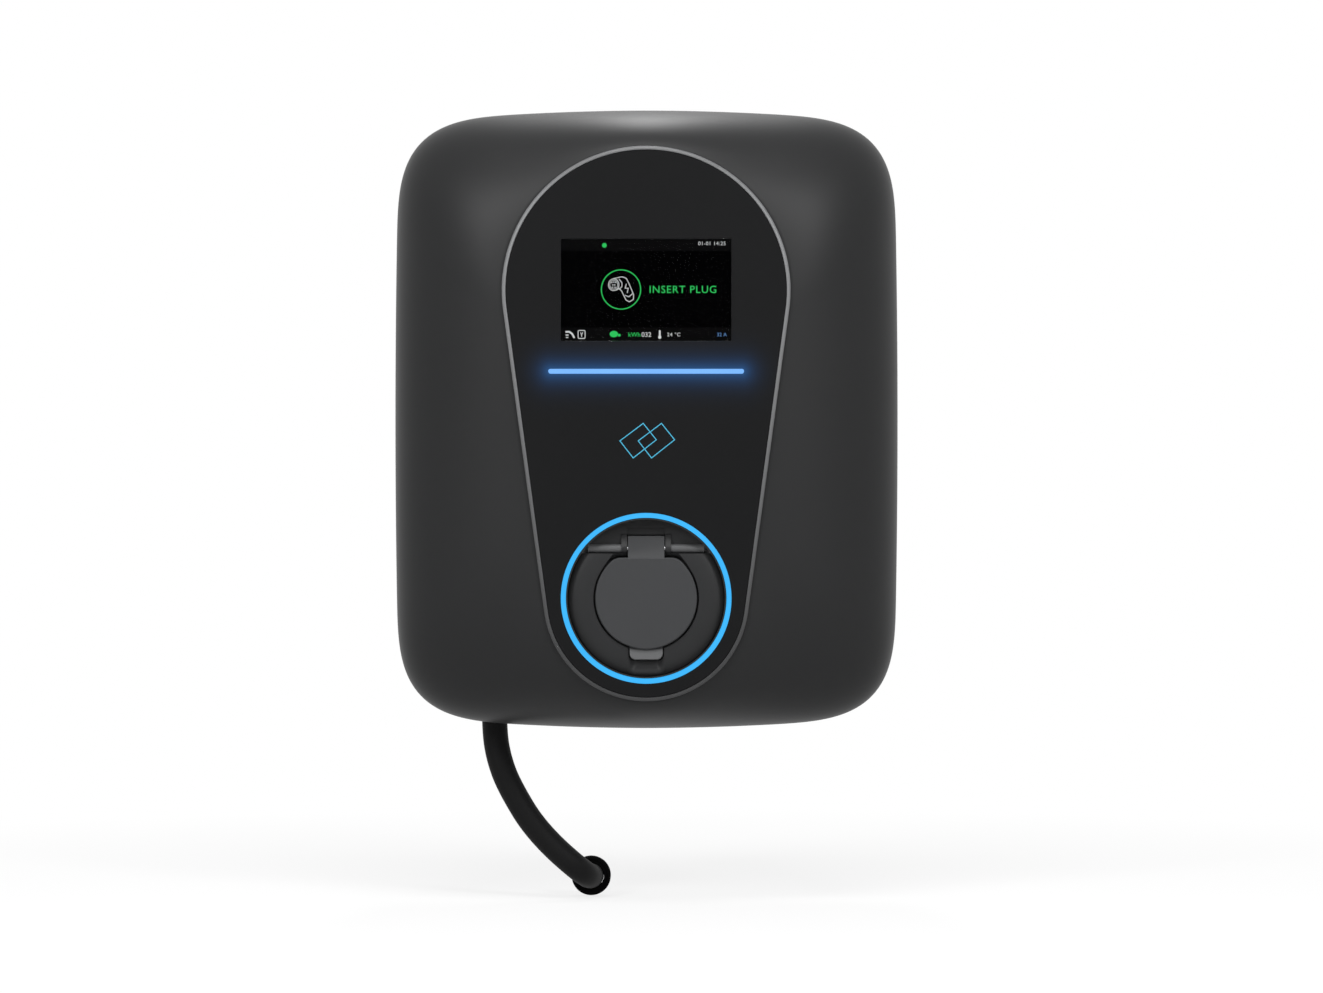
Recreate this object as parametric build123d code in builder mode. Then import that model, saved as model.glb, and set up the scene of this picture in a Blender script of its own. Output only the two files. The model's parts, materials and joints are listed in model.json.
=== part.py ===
from build123d import *
import os
from math import asin, cos, dist, hypot, pi, radians, sin, sqrt, tan

os.makedirs("parts", exist_ok=True)

# A wall-mounted car charger. Sizes are millimetres, the wall is the plane Y = 0, the front looks
# along -Y and Z is up. "Out" is a distance from the wall, "depth" one behind the fascia's face,
# and "rise" a height above the socket's axis.

# Form of the shell
BODY_W = 325.0  # front cover, across
BODY_H = 399.0  # front cover, up and down
CORNER_REACH = 84.0  # how far a corner's curve reaches along each edge
CORNER_POWER = 3.7  # how square the corner's curve is
BOW_W = 2.7  # how far the long edges bow out
BOW_H = 8.2  # how far the short edges bow out
PARTING = 58.0  # out of the cover's back edge
DOME = 70.0  # height of the cover above the parting
DOME_TURN = 75.0  # degrees by which the dome leans in at its flat
DOME_SECTIONS = 6  # sections that the dome is lofted through
CORNER_STEPS = 6  # steps round one corner of a section
WALL = 3.0  # moulded walls
FLAT_EDGE = 0.5  # how much smaller the flat is inside the cover

# Fascia
PANEL_T = 3.0  # fascia panel
TOP_R = 88.8  # upper round of the panel
LOW_R = 62.6  # lower round of the panel, about the socket
TOP_RISE = 0.20175  # upper round above the middle, as a share of the shell's height
SOCKET_DROP = 0.28622  # socket below the middle, as a share of the shell's height
TRIM_W = 2.3  # bright trim round the panel
TRIM_PROUD = 0.3  # trim in front of the panel
TRIM_BEVEL = 1.9  # outward bevel of the trim
PANEL_EDGE = 0.4  # softened front edge of the panel
LAND = 0.5  # flat of the cover that shows round the trim
FIT = 0.15  # clearance round pieces that are set into each other
SLIP = 0.3  # clearance round pieces that pass each other

# Display, light bar and card reader
SCREEN_W = 108.0
SCREEN_H = 64.8
SCREEN_LIFT = 0.2  # display above the middle of the upper round
LCD_W = 120.7
LCD_H = 75.8
LCD_T = 4.0
LCD_TAIL_W = 40.0  # connector on the back of the display
LCD_TAIL_H = 6.0
BAR_W = 124.0
BAR_H = 3.2
BAR_RISE = 0.07343  # shares of the shell's height
CARD_DROP = 0.03559
BOARD_T = 1.6
POST_R = 3.5  # screw posts for the boards
POST_L = 8.4
FRONT_BOARD_W = 144.0
FRONT_BOARD_OVER = 51.5009  # its upper edge above the middle of the upper round
FRONT_BOARD_UNDER = 13.3007  # its lower edge below the light bar
BOARD_EDGE = 6.0  # screws from the edge of a board
CARD_W = 58.0
CARD_UNDER = 22.4996  # upper edge of the card reader below the light bar

# Lit ring and dish
RING_IN_R = 50.9
RING_OUT_R = 53.9
RING_BOARD_R = 56.0
BEZEL_POST_L = 5.6
BEZEL_POST_R = 60.2  # circle of the posts that carry the dish
BEZEL_FLANGE_R = 64.0
RIM_DEPTH = 0.3  # rim of the dish
RIM_LAND = 0.8
DISH_DEPTH = 7.5  # dish at the lit ring
COLLAR_DEPTH = 3.4  # collar round the flap, highest part of the dish
COLLAR_GAP = 1.2  # between collar and flap
FLOOR_DEPTH = 12.0  # floor behind the flap
FLOOR_T = 3.0
TRENCH_RISE = 28.3  # lower edge of the trench that holds the hinge
TRENCH_DEPTH = 10.0
SWING = 100.0  # degrees that the flap opens by
SWING_GAP = 0.6
SCOOP_R = 12.8  # hollow for a finger tip under the flap's lip
SCOOP_DROP = 38.5
SCOOP_FORE = 3.0  # its axis in front of the face
SCOOP_HALF = 12.0

# Flap and hinge
HINGE_RISE = 31.3
HINGE_DEPTH = 9.0
PIN_R = 1.5
PIN_HALF = 34.0
PIN_FIT = 0.05
PIN_RUN = 0.1
BARREL_R = 2.75
BARREL_HALF = 36.8
LUG_T = 3.7
LUG_R = 3.9
LUG_TOP_R = 2.4
LUG_TOP_RISE = 41.0
LUG_TOP_BACK = 2.0
STRAP_W = 23.0
STRAP_R = 4.5  # knuckle round the pin
STRAP_TOP = 39.4
STRAP_T = 4.0
STRAP_EDGE = 1.2
RAMP_RISE = 31.0
HINGE_GAP = 0.5
POCKET_WALL = 1.6
RELIEF_TOP = 44.5
RELIEF_DEPTH = 11.5
CAP_R = 32.2
CAP_FLAT = 25.7
CAP_SHOULDER = 9.0  # round corners of the flat
CAP_DEPTH = 1.0
CAP_T = 6.0
CAP_EDGE = 1.0
TAB_W = 20.8
TAB_DROP = 6.6
TAB_T = 2.2
TAB_LEAN = 2.4
TAB_ROUND = 4.0
TAB_DEPTH = 3.6
TAB_ROOT = 2.0
SPRING_HALF = 5.0
SPRING_R = 2.6
SPRING_WIRE = 0.7
SPRING_TURNS = 3.5
SPRING_ROOM = 0.45
SPRING_LEG = 4.2

# Type 2 socket
SEAL_T = 1.5
SEAL_GAP = 0.1
SEAL_EDGE = 0.3
NOSE_R = 31.0
NOSE_FLAT = 23.4
WELL_R = 28.6
WELL_FLAT = 21.2
WELL_DEPTH = 47.0
SOCKET_BACK = 51.0
SOCKET_FLANGE_R = 46.0
SOCKET_FLANGE_T = 3.2
SOCKET_SCREW_R = 42.0
SOCKET_BITE = 3.2
INSERT_R = 22.0
INSERT_FLAT = 14.5
INSERT_DEPTH = 15.0
INSERT_EDGE = 0.8
POWER_SLEEVE_R = 4.2
POWER_PIN_R = 3.1
SIGNAL_SLEEVE_R = 2.6
SIGNAL_PIN_R = 1.6
GUARD = 2.0  # insert in front of the sleeves
SLEEVE_END = 3.0  # closed end of a sleeve
TAIL_R = 2.4
SIGNAL_TAIL_R = 1.5
TAIL_L = 9.0
SIDE_X = 16.0
LOWER_X = 8.0
LOWER_DROP = 13.9
UPPER_X = 6.5
UPPER_RISE = 10.0

# Plug lock
LOCK_W = 38.0
LOCK_H = 26.0
LOCK_DEPTH = 22.5
LOCK_L = 18.0
LOCK_FOOT_W = 56.0
LOCK_FOOT_T = 4.0
LOCK_PIN_R = 3.0
LOCK_PIN_L = 17.0
LOCK_STROKE = 6.0
LOCK_CLEAR = 0.25
LOCK_SCREW_X = 23.5
LOCK_SEAT_DROP = 12.0

# Rear housing
HOUSING_INSET = 12.0
TRAY_CORNER = 60.0
HOUSING_BACK = 1.0
BACK_ROUND = 5.0
FLANGE_T = 3.0
FLANGE_REVEAL = 0.8
GASKET_T = 1.5
GASKET_EDGE = 0.6
GASKET_W = 9.6
LAP = 0.5  # overlap of moulded features that are one piece
COVER_BOSS_R = 4.4
COVER_BOSS_L = 10.0
COVER_SCREW_INSET = 6.5

# Wall bracket
BRACKET_W = 100.0
BRACKET_T = 2.0
BOLT_R = 3.25
BOLT_SPAN_X = 70.0
BOLT_SPAN_Z = 140.0
CHANNEL_W = 108.0
CHANNEL_D = 14.0
CHANNEL_TOP = 116.0
LIP_Z = 80.0
LIP_OUT = 7.0
LIP_H = 14.0
LIP_W = 88.0
HOOK_W = 80.0
HOOK_T = 3.0
HOOK_LEG = 10.0
LOCK_TAB_OUT = 30.0
LOCK_TAB_X = 30.0
LOCK_BOSS_OUT = 23.0
LOCK_BOSS_L = 9.0

# Power electronics
BOARD_OUT = 25.0
MAIN_BOARD_W = 200.0
MAIN_ROOM = 24.5  # space above the board
MAIN_GAP = 18.0  # space between the board and the terminal block
STAND_R = 4.5
OUTPUT_W = 54.0
OUTPUT_H = 16.0
OUTPUT_RISE = 12.0  # above the board's lower edge
OUTPUT_T = 36.0
LEAD_R = 1.9
SIGNAL_LEAD_R = 1.0
LEAD_BEND = 7.0
LEAD_OUT_LOW = 36.0
LEAD_OUT_MID = 45.0
LEAD_OUT_TOP = 54.0
RELAY_W = 30.0
RELAY_H = 16.0
RELAY_T = 26.0
RELAY_X = 40.0
RELAY_DROP = 27.0  # lowest relay below the middle of the board
RELAY_PITCH = 24.0
RELAYS = 4
MODULE_W = 56.0
MODULE_H = 34.0
MODULE_T = 22.0
MODULE_X = 50.0
MODULE_DROP = 40.0  # below the board's upper edge
SENSOR_R = 20.0
SENSOR_HOLE_R = 10.0
SENSOR_T = 16.0
SENSOR_X = 60.0
SENSOR_RISE = 56.0  # above the board's lower edge
TERMINAL_ROOM = 5.25  # space beside the terminal block
TERMINAL_H = 26.0
TERMINAL_T = 28.0
TERMINAL_RISE = 61.0  # above the bay
TERMINAL_EAR = 9.0
TERMINAL_EAR_T = 4.0
TERMINAL_LIFT = 9.0
CORE_R = 1.8
CORE_EDGE = 9.0  # outer wires from the ends of the terminal block
CORE_RING = 4.6
CORE_BEND = 9.0
CORE_RUN = 8.0
CORES = 5

# Cable entry and cable
CABLE_R = 8.25
GLAND_SHIFT = 2.85  # cable entry towards the middle from the centre of its side room
GLAND_OUT = 30.0
BAY_W = 58.0
BAY_D = 49.0
BAY_H = 29.5
THREAD_R = 12.4
GLAND_HEX = 30.0
GLAND_FLANGE_T = 6.0
GLAND_NECK_R = 11.8
GLAND_NECK_L = 12.0
GLAND_END = 2.0
LOCKNUT_T = 6.0
NUT_DROP = 0.5  # mouth of the entry below the housing
NUT_EDGE = 3.0
NUT_LIP = 3.0
CABLE_FIT = 0.1
TAIL_RISE = 16.0  # end of the sheath above the bay
ROUTE_STEPS = [  # corners of the cable's way, from the mouth of the entry
    (0.0, 0.0, -15.4),
    (2.8, -1.0, -32.6),
    (9.4, -2.5, -50.5),
    (28.1, -5.8, -81.0),
    (62.8, -8.0, -111.6),
]
BEND_SHARE = 0.45  # part of the shorter run that a bend takes up
GROMMET_R = 12.9
GROMMET_T = 7.0
GROMMET_EDGE = 2.0

# Screws
SCREW_R = 1.75
SCREW_HEAD_R = 3.4
SCREW_HEAD_T = 2.4
SCREW_DRIVE_R = 1.7
SCREW_DRIVE_T = 1.4
SCREW_CLEAR = 0.35
PILOT_FIT = 0.05
SCREW_BITE = 6.0  # how far a screw runs into its boss
PILOT_END = 1.0  # boss left beyond the screw's end

# Values that follow from the sizes above
QUARTER = 90.0
TOP_Z = TOP_RISE * BODY_H
SOCKET_Z = -SOCKET_DROP * BODY_H
SCREEN_Z = TOP_Z + SCREEN_LIFT
BAR_Z = BAR_RISE * BODY_H
CARD_Z = -CARD_DROP * BODY_H
CARD_H = 2 * (BAR_Z - CARD_UNDER - CARD_Z)
FRONT_BOARD_TOP = TOP_Z + FRONT_BOARD_OVER
FRONT_BOARD_LOW = BAR_Z - FRONT_BOARD_UNDER
FRONT_BOARD_Z = (FRONT_BOARD_TOP + FRONT_BOARD_LOW) / 2
FRONT_BOARD_H = FRONT_BOARD_TOP - FRONT_BOARD_LOW
PLATEAU = PARTING + DOME
FACE = PLATEAU + PANEL_T
FLAT_BACK = PLATEAU - WALL
FLANGE_FRONT = PARTING - GASKET_T
FLANGE_BACK = FLANGE_FRONT - FLANGE_T
FRONT_BOARD_OUT = FLAT_BACK - POST_L
BEZEL_SEAT = FLAT_BACK - BEZEL_POST_L
FLOOR_OUT = FACE - FLOOR_DEPTH
BEZEL_BACK = FLOOR_OUT - FLOOR_T
HINGE_OUT = FACE - HINGE_DEPTH
HINGE_Z = SOCKET_Z + HINGE_RISE
CAP_BACK = FACE - CAP_DEPTH - CAP_T
NOSE_OUT = CAP_BACK - SEAL_T - SEAL_GAP
HOLE_R = NOSE_R + SLIP
HOLE_FLAT = NOSE_FLAT + SLIP
POCKET_R = hypot(STRAP_TOP - HINGE_RISE, STRAP_R - STRAP_EDGE) + HINGE_GAP
POCKET_HALF = STRAP_W / 2 + HINGE_GAP
INNER = HOUSING_INSET + WALL
CHANNEL_ROOF = HOUSING_BACK + CHANNEL_D
HOOK_BOTTOM = LIP_Z + LIP_H + SEAL_GAP
BOARD_FRONT = BOARD_OUT + BOARD_T
HOUSING_LOW = HOUSING_INSET - BODY_H / 2
SIDE_ROOM = BODY_W / 2 - INNER - CHANNEL_W / 2 - WALL
GLAND_X = GLAND_SHIFT - CHANNEL_W / 2 - WALL - SIDE_ROOM / 2
BAY_TOP = HOUSING_LOW + BAY_H
NUT_MOUTH = HOUSING_LOW - NUT_DROP
TAIL_TOP = BAY_TOP + TAIL_RISE
TERMINAL_W = SIDE_ROOM - 2 * TERMINAL_EAR - 2 * TERMINAL_ROOM
TERMINAL_Z = BAY_TOP + TERMINAL_RISE
CORE_PITCH = (TERMINAL_W - 2 * CORE_EDGE) / (CORES - 1)
MAIN_TOP = BODY_H / 2 - INNER - MAIN_ROOM
MAIN_LOW = TERMINAL_Z + TERMINAL_H / 2 + MAIN_GAP
MAIN_BOARD_H = MAIN_TOP - MAIN_LOW
MAIN_BOARD_Z = (MAIN_TOP + MAIN_LOW) / 2
MODULE_Z = MAIN_TOP - MODULE_DROP
OUTPUT_Z = MAIN_LOW + OUTPUT_RISE
SENSOR_Z = MAIN_LOW + SENSOR_RISE
RELAY_Z = MAIN_BOARD_Z - RELAY_DROP
SCREW_HOLE_R = SCREW_R + SCREW_CLEAR
PILOT_R = SCREW_R + PILOT_FIT


def wall_plane(out):
    """Plane that faces the front, at a distance from the wall."""
    return Plane.XZ.offset(out)


def back_plane(out):
    """Plane that faces the wall, at a distance from it. Its x runs the other way."""
    return Plane(origin=(0, -out, 0), x_dir=(-1, 0, 0), z_dir=(0, 1, 0))


def body_ring(inset):
    """Points of the shell's outline, set in from its edge: crowned sides and soft corners."""
    half_w = BODY_W / 2 - inset
    half_h = BODY_H / 2 - inset
    reach = CORNER_REACH - inset
    straight_w = half_w - reach
    straight_h = half_h - reach
    quarter = [(half_w, 0.0), (half_w, straight_h / 2)]
    for step in range(CORNER_STEPS + 1):
        turn = step / CORNER_STEPS * pi / 2
        u = max(cos(turn), 0.0) ** (2 / CORNER_POWER)
        v = max(sin(turn), 0.0) ** (2 / CORNER_POWER)
        quarter.append((straight_w + reach * u, straight_h + reach * v))
    quarter.append((straight_w / 2, half_h))
    top = [(0.0, half_h)]
    upper = quarter + top + [(-x, z) for x, z in reversed(quarter[1:])]
    whole = upper + [(-x, -z) for x, z in upper]
    bowed = []
    for x, z in whole:
        across = x * (1 - BOW_W / half_w * (z / half_h) ** 2)
        along = z * (1 - BOW_H / half_h * (x / half_w) ** 2)
        bowed.append((across, along))
    return bowed


def pear_point(x, z, grow):
    """Point of the panel's outline, grown outward, on the line from the middle through (x, z)."""
    lean = asin((TOP_R - LOW_R) / (TOP_Z - SOCKET_Z))
    size = hypot(x, z)
    across = x / size
    along = z / size
    slope = abs(across) * cos(lean) - along * sin(lean)
    reach = TOP_R + grow - TOP_Z * sin(lean)
    tangent_top = TOP_Z - (TOP_R + grow) * sin(lean)
    tangent_low = SOCKET_Z - (LOW_R + grow) * sin(lean)
    hit = reach / slope * along if slope > 0 else TOP_Z + TOP_R
    if tangent_low <= hit <= tangent_top:
        far = reach / slope
    else:
        centre = TOP_Z if hit > tangent_top else SOCKET_Z
        radius = (TOP_R if hit > tangent_top else LOW_R) + grow
        foot = along * centre
        far = foot + sqrt(foot**2 - centre**2 + radius**2)
    return far * across, far * along


def dome_ring(turn, wall):
    """Section of the dome: the outline of the shell on its way to the outline of the panel."""
    share = (1 - cos(turn)) / (1 - cos(radians(DOME_TURN)))
    grow = FIT + TRIM_W + LAND - (FLAT_EDGE if wall else 0.0)
    points = []
    for x, z in body_ring(wall):
        flat_x, flat_z = pear_point(x, z, grow)
        points.append((x + (flat_x - x) * share, z + (flat_z - z) * share))
    return points


def dome_out(turn, wall):
    """Distance from the wall of a section of the dome."""
    return PARTING + (DOME - wall) * sin(turn) / sin(radians(DOME_TURN))


def ring_stations():
    """Where the points of every outline sit along it, so that sections match."""
    ring = body_ring(0.0)
    along = [0.0]
    for here, there in zip(ring, ring[1:] + ring[:1]):
        along.append(along[-1] + dist(here, there))
    return along


STATIONS = ring_stations()


def draw_ring(points, mode=Mode.ADD):
    """Face inside a smooth closed line through the points."""
    make_face(Edge.make_spline(points, periodic=True, parameters=STATIONS), mode=mode)


def draw_tray(inset, mode=Mode.ADD):
    """Outline of the rear housing, set in from the shell's edge."""
    corner = TRAY_CORNER + HOUSING_INSET - inset
    RectangleRounded(BODY_W - 2 * inset, BODY_H - 2 * inset, corner, mode=mode)


def draw_pear(grow):
    """Outline of the panel, grown outward: two rounds and the lines that touch both."""
    with Locations((0, TOP_Z)):
        Circle(TOP_R + grow)
    with Locations((0, SOCKET_Z)):
        Circle(LOW_R + grow)
    make_hull()


def draw_flat_round(radius, flat, mode=Mode.ADD):
    """Round with a flat top, about the socket's axis."""
    whole = Circle(radius, mode=Mode.PRIVATE)
    above = Rectangle(2 * radius, 2 * radius, align=(Align.CENTER, Align.MIN), mode=Mode.PRIVATE)
    add(Pos(0, SOCKET_Z) * (whole - Pos(0, flat) * above), mode=mode)


def draw_flap(grow):
    """Outline of the flap, grown outward: a flat-topped round with soft shoulders."""
    outline = Sketch() + Circle(CAP_R + grow, mode=Mode.PRIVATE)
    above = Rectangle(4 * CAP_R, CAP_R, align=(Align.CENTER, Align.MIN), mode=Mode.PRIVATE)
    outline -= Pos(0, CAP_FLAT + grow) * above
    corners = outline.vertices().group_by(Axis.Y)[-1]
    add(Pos(0, SOCKET_Z) * outline.face().fillet_2d(CAP_SHOULDER + grow, corners))


def make_screw(length):
    """Screw along Z: head under the plane Z = 0, shank above it."""
    with BuildPart() as made:
        with BuildSketch(Plane.XY):
            Circle(SCREW_HEAD_R)
        extrude(amount=-SCREW_HEAD_T)
        with BuildSketch(Plane.XY.offset(-SCREW_HEAD_T)):
            RegularPolygon(SCREW_DRIVE_R, 6)
        extrude(amount=SCREW_DRIVE_T, mode=Mode.SUBTRACT)
        with BuildSketch(Plane.XY):
            Circle(SCREW_R)
        extrude(amount=length)
    return made.part


def mirror_pair(x, z):
    """The point and its mirror image across the middle."""
    return [(x, z), (-x, z)]


COVER_POINTS = body_ring(COVER_SCREW_INSET)[:: (CORNER_STEPS + 4) // 2]
FRONT_POST_X = FRONT_BOARD_W / 2 - BOARD_EDGE
FRONT_POST_Z = FRONT_BOARD_H / 2 - BOARD_EDGE
FRONT_POINTS = mirror_pair(FRONT_POST_X, FRONT_BOARD_Z + FRONT_POST_Z)
FRONT_POINTS += mirror_pair(FRONT_POST_X, FRONT_BOARD_Z - FRONT_POST_Z)
CARD_POINTS = mirror_pair(CARD_W / 2 - BOARD_EDGE, CARD_Z)
BEZEL_SIDE = BEZEL_POST_R * cos(pi / 4)
BEZEL_POINTS = mirror_pair(BEZEL_SIDE, SOCKET_Z + BEZEL_SIDE)
BEZEL_POINTS += mirror_pair(BEZEL_SIDE, SOCKET_Z - BEZEL_SIDE)
SOCKET_UP = SOCKET_SCREW_R * sin(pi / 12)
SOCKET_DOWN = SOCKET_SCREW_R * sin(pi / 4)
SOCKET_POINTS = mirror_pair(SOCKET_SCREW_R * cos(pi / 12), SOCKET_Z + SOCKET_UP)
SOCKET_POINTS += mirror_pair(SOCKET_SCREW_R * cos(pi / 4), SOCKET_Z - SOCKET_DOWN)
MAIN_X = MAIN_BOARD_W / 2 - BOARD_EDGE
MAIN_HALF = MAIN_BOARD_H / 2 - BOARD_EDGE
MAIN_POINTS = mirror_pair(MAIN_X, MAIN_BOARD_Z + MAIN_HALF)
MAIN_POINTS += mirror_pair(MAIN_X, MAIN_BOARD_Z - MAIN_HALF)
EAR_X = TERMINAL_W / 2 + TERMINAL_EAR / 2
TERMINAL_POINTS = [(GLAND_X - EAR_X, TERMINAL_Z), (GLAND_X + EAR_X, TERMINAL_Z)]
POWER_CONTACTS = [
    (0.0, SOCKET_Z),
    (-SIDE_X, SOCKET_Z),
    (SIDE_X, SOCKET_Z),
    (-LOWER_X, SOCKET_Z - LOWER_DROP),
    (LOWER_X, SOCKET_Z - LOWER_DROP),
]
SIGNAL_CONTACTS = mirror_pair(UPPER_X, SOCKET_Z + UPPER_RISE)
LOCK_OUT = FACE - LOCK_DEPTH - LOCK_L / 2
LOCK_BACK = FACE - LOCK_DEPTH - LOCK_L
LOCK_SEAT_Z = SOCKET_Z + NOSE_FLAT
TAB_BOTTOM = HOUSING_LOW - SLIP - BRACKET_T
TERMINAL_OUT = HOUSING_BACK + WALL + TERMINAL_LIFT
GLAND_SPOT = (GLAND_X, -GLAND_OUT)
DOME_TURNS = [radians(DOME_TURN) * k / (DOME_SECTIONS - 1) for k in range(DOME_SECTIONS)]


# Front cover: a dome that changes from the shell's outline to the panel's, hollow behind
with BuildPart() as front_cover:
    for turn in DOME_TURNS:
        with BuildSketch(wall_plane(dome_out(turn, 0.0))):
            draw_ring(dome_ring(turn, 0.0))
    loft()
    for turn in DOME_TURNS:
        with BuildSketch(wall_plane(dome_out(turn, WALL))):
            draw_ring(dome_ring(turn, WALL))
    loft(mode=Mode.SUBTRACT)
    with BuildSketch(wall_plane(FLAT_BACK)):
        with Locations((0, SCREEN_Z)):
            Rectangle(LCD_W + 2 * SLIP, LCD_H + 2 * SLIP)
        with Locations((0, BAR_Z)):
            SlotOverall(BAR_W + 2 * SLIP, BAR_H + 2 * SLIP)
        with Locations((0, SOCKET_Z)):
            Circle(RING_OUT_R + 2 * SLIP)
    extrude(amount=WALL, mode=Mode.SUBTRACT)
    with BuildSketch(wall_plane(FLAT_BACK)):
        with Locations(*FRONT_POINTS, *CARD_POINTS):
            Circle(POST_R)
    extrude(amount=-POST_L)
    with BuildSketch(wall_plane(FLAT_BACK)):
        with Locations(*BEZEL_POINTS):
            Circle(POST_R)
    extrude(amount=-BEZEL_POST_L)
    with BuildSketch(wall_plane(PARTING)):
        with Locations(*COVER_POINTS):
            Circle(COVER_BOSS_R)
    extrude(amount=COVER_BOSS_L)
    with BuildSketch(wall_plane(PARTING)):
        with Locations(*COVER_POINTS):
            Circle(PILOT_R)
    extrude(amount=COVER_BOSS_L - PILOT_END, mode=Mode.SUBTRACT)
    with BuildSketch(wall_plane(FRONT_BOARD_OUT)):
        with Locations(*FRONT_POINTS, *CARD_POINTS):
            Circle(PILOT_R)
    extrude(amount=POST_L, mode=Mode.SUBTRACT)
    with BuildSketch(wall_plane(BEZEL_SEAT)):
        with Locations(*BEZEL_POINTS):
            Circle(PILOT_R)
    extrude(amount=BEZEL_POST_L, mode=Mode.SUBTRACT)

# Rear housing: a tray with a flange, a channel for the bracket and a bay for the cable entry
with BuildPart() as rear_housing:
    with BuildSketch(wall_plane(HOUSING_BACK)):
        draw_tray(HOUSING_INSET)
    extrude(amount=FLANGE_FRONT - HOUSING_BACK)
    fillet(rear_housing.edges().group_by(Axis.Y)[-1], radius=BACK_ROUND)
    with BuildSketch(wall_plane(HOUSING_BACK + WALL)):
        draw_tray(INNER)
    extrude(amount=FLANGE_FRONT - HOUSING_BACK - WALL, mode=Mode.SUBTRACT)
    # walls of the channel and of the bay, kept inside the tray
    with BuildSketch(wall_plane(HOUSING_BACK + WALL - LAP)):
        draw_tray(INNER - LAP)
        with Locations((0, CHANNEL_TOP + WALL)):
            Rectangle(CHANNEL_W + 2 * WALL, BODY_H, align=(Align.CENTER, Align.MAX), mode=Mode.INTERSECT)
    extrude(amount=CHANNEL_D + LAP)
    with BuildSketch(wall_plane(HOUSING_BACK + WALL - LAP)):
        draw_tray(INNER - LAP)
        with Locations((GLAND_X, BAY_TOP + WALL)):
            Rectangle(BAY_W + 2 * WALL, BODY_H, align=(Align.CENTER, Align.MAX), mode=Mode.INTERSECT)
    extrude(amount=BAY_D - HOUSING_BACK + LAP)
    with BuildSketch(wall_plane(0)):
        with Locations((0, CHANNEL_TOP)):
            Rectangle(CHANNEL_W, BODY_H, align=(Align.CENTER, Align.MAX))
    extrude(amount=CHANNEL_ROOF, mode=Mode.SUBTRACT)
    with BuildSketch(wall_plane(0)):
        with Locations((GLAND_X, BAY_TOP)):
            Rectangle(BAY_W, BODY_H, align=(Align.CENTER, Align.MAX))
    extrude(amount=BAY_D, mode=Mode.SUBTRACT)
    with BuildSketch(Plane.XY.offset(BAY_TOP)):
        with Locations(GLAND_SPOT):
            Circle(THREAD_R + SLIP)
    extrude(amount=WALL, mode=Mode.SUBTRACT)
    # hook that hangs on the bracket's lip
    with BuildSketch(Plane.YZ):
        with BuildLine():
            Polyline(
                (-CHANNEL_ROOF - LAP, HOOK_BOTTOM),
                (-CHANNEL_ROOF - LAP, HOOK_BOTTOM + HOOK_T),
                (SLIP - LIP_OUT + HOOK_T, HOOK_BOTTOM + HOOK_T),
                (SLIP - LIP_OUT + HOOK_T, HOOK_BOTTOM - HOOK_LEG),
                (SLIP - LIP_OUT, HOOK_BOTTOM - HOOK_LEG),
                (SLIP - LIP_OUT, HOOK_BOTTOM),
                close=True,
            )
        make_face()
    extrude(amount=HOOK_W / 2, both=True)
    # bosses for the boards, the terminal block and the screws under the housing
    with BuildSketch(wall_plane(HOUSING_BACK + WALL - LAP)):
        with Locations(*MAIN_POINTS):
            Circle(STAND_R)
    extrude(amount=BOARD_OUT - HOUSING_BACK - WALL + LAP)
    with BuildSketch(wall_plane(HOUSING_BACK + WALL - LAP)):
        with Locations(*TERMINAL_POINTS):
            Circle(STAND_R)
    extrude(amount=TERMINAL_LIFT + LAP)
    with BuildSketch(Plane.XY.offset(HOUSING_LOW + WALL - LAP)):
        with Locations((-LOCK_TAB_X, -LOCK_BOSS_OUT), (LOCK_TAB_X, -LOCK_BOSS_OUT)):
            Circle(STAND_R)
    extrude(amount=LOCK_BOSS_L + LAP)
    with BuildSketch(wall_plane(BOARD_OUT)):
        with Locations(*MAIN_POINTS):
            Circle(PILOT_R)
    extrude(amount=-SCREW_BITE - PILOT_END, mode=Mode.SUBTRACT)
    with BuildSketch(wall_plane(TERMINAL_OUT)):
        with Locations(*TERMINAL_POINTS):
            Circle(PILOT_R)
    extrude(amount=-SCREW_BITE - PILOT_END, mode=Mode.SUBTRACT)
    with BuildSketch(Plane.XY.offset(HOUSING_LOW)):
        with Locations((-LOCK_TAB_X, -LOCK_BOSS_OUT), (LOCK_TAB_X, -LOCK_BOSS_OUT)):
            Circle(PILOT_R)
    extrude(amount=LOCK_BOSS_L + WALL - PILOT_END, mode=Mode.SUBTRACT)
    # flange with the cover's outline
    with BuildSketch(wall_plane(FLANGE_BACK)):
        draw_ring(body_ring(FLANGE_REVEAL))
        draw_tray(INNER - LAP, mode=Mode.SUBTRACT)
        with Locations(*COVER_POINTS):
            Circle(SCREW_HOLE_R, mode=Mode.SUBTRACT)
    extrude(amount=FLANGE_T)

# Flat gasket between the flange and the cover
with BuildPart() as housing_gasket:
    with BuildSketch(wall_plane(FLANGE_FRONT)):
        draw_ring(body_ring(FLANGE_REVEAL + GASKET_EDGE))
        draw_ring(body_ring(FLANGE_REVEAL + GASKET_EDGE + GASKET_W), mode=Mode.SUBTRACT)
        with Locations(*COVER_POINTS):
            Circle(SCREW_HOLE_R, mode=Mode.SUBTRACT)
    extrude(amount=GASKET_T)

cover_screw = make_screw(FLANGE_T + GASKET_T + SCREW_BITE)
with BuildPart(wall_plane(FLANGE_BACK)) as cover_screws:
    with Locations(*COVER_POINTS):
        add(cover_screw)

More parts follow.
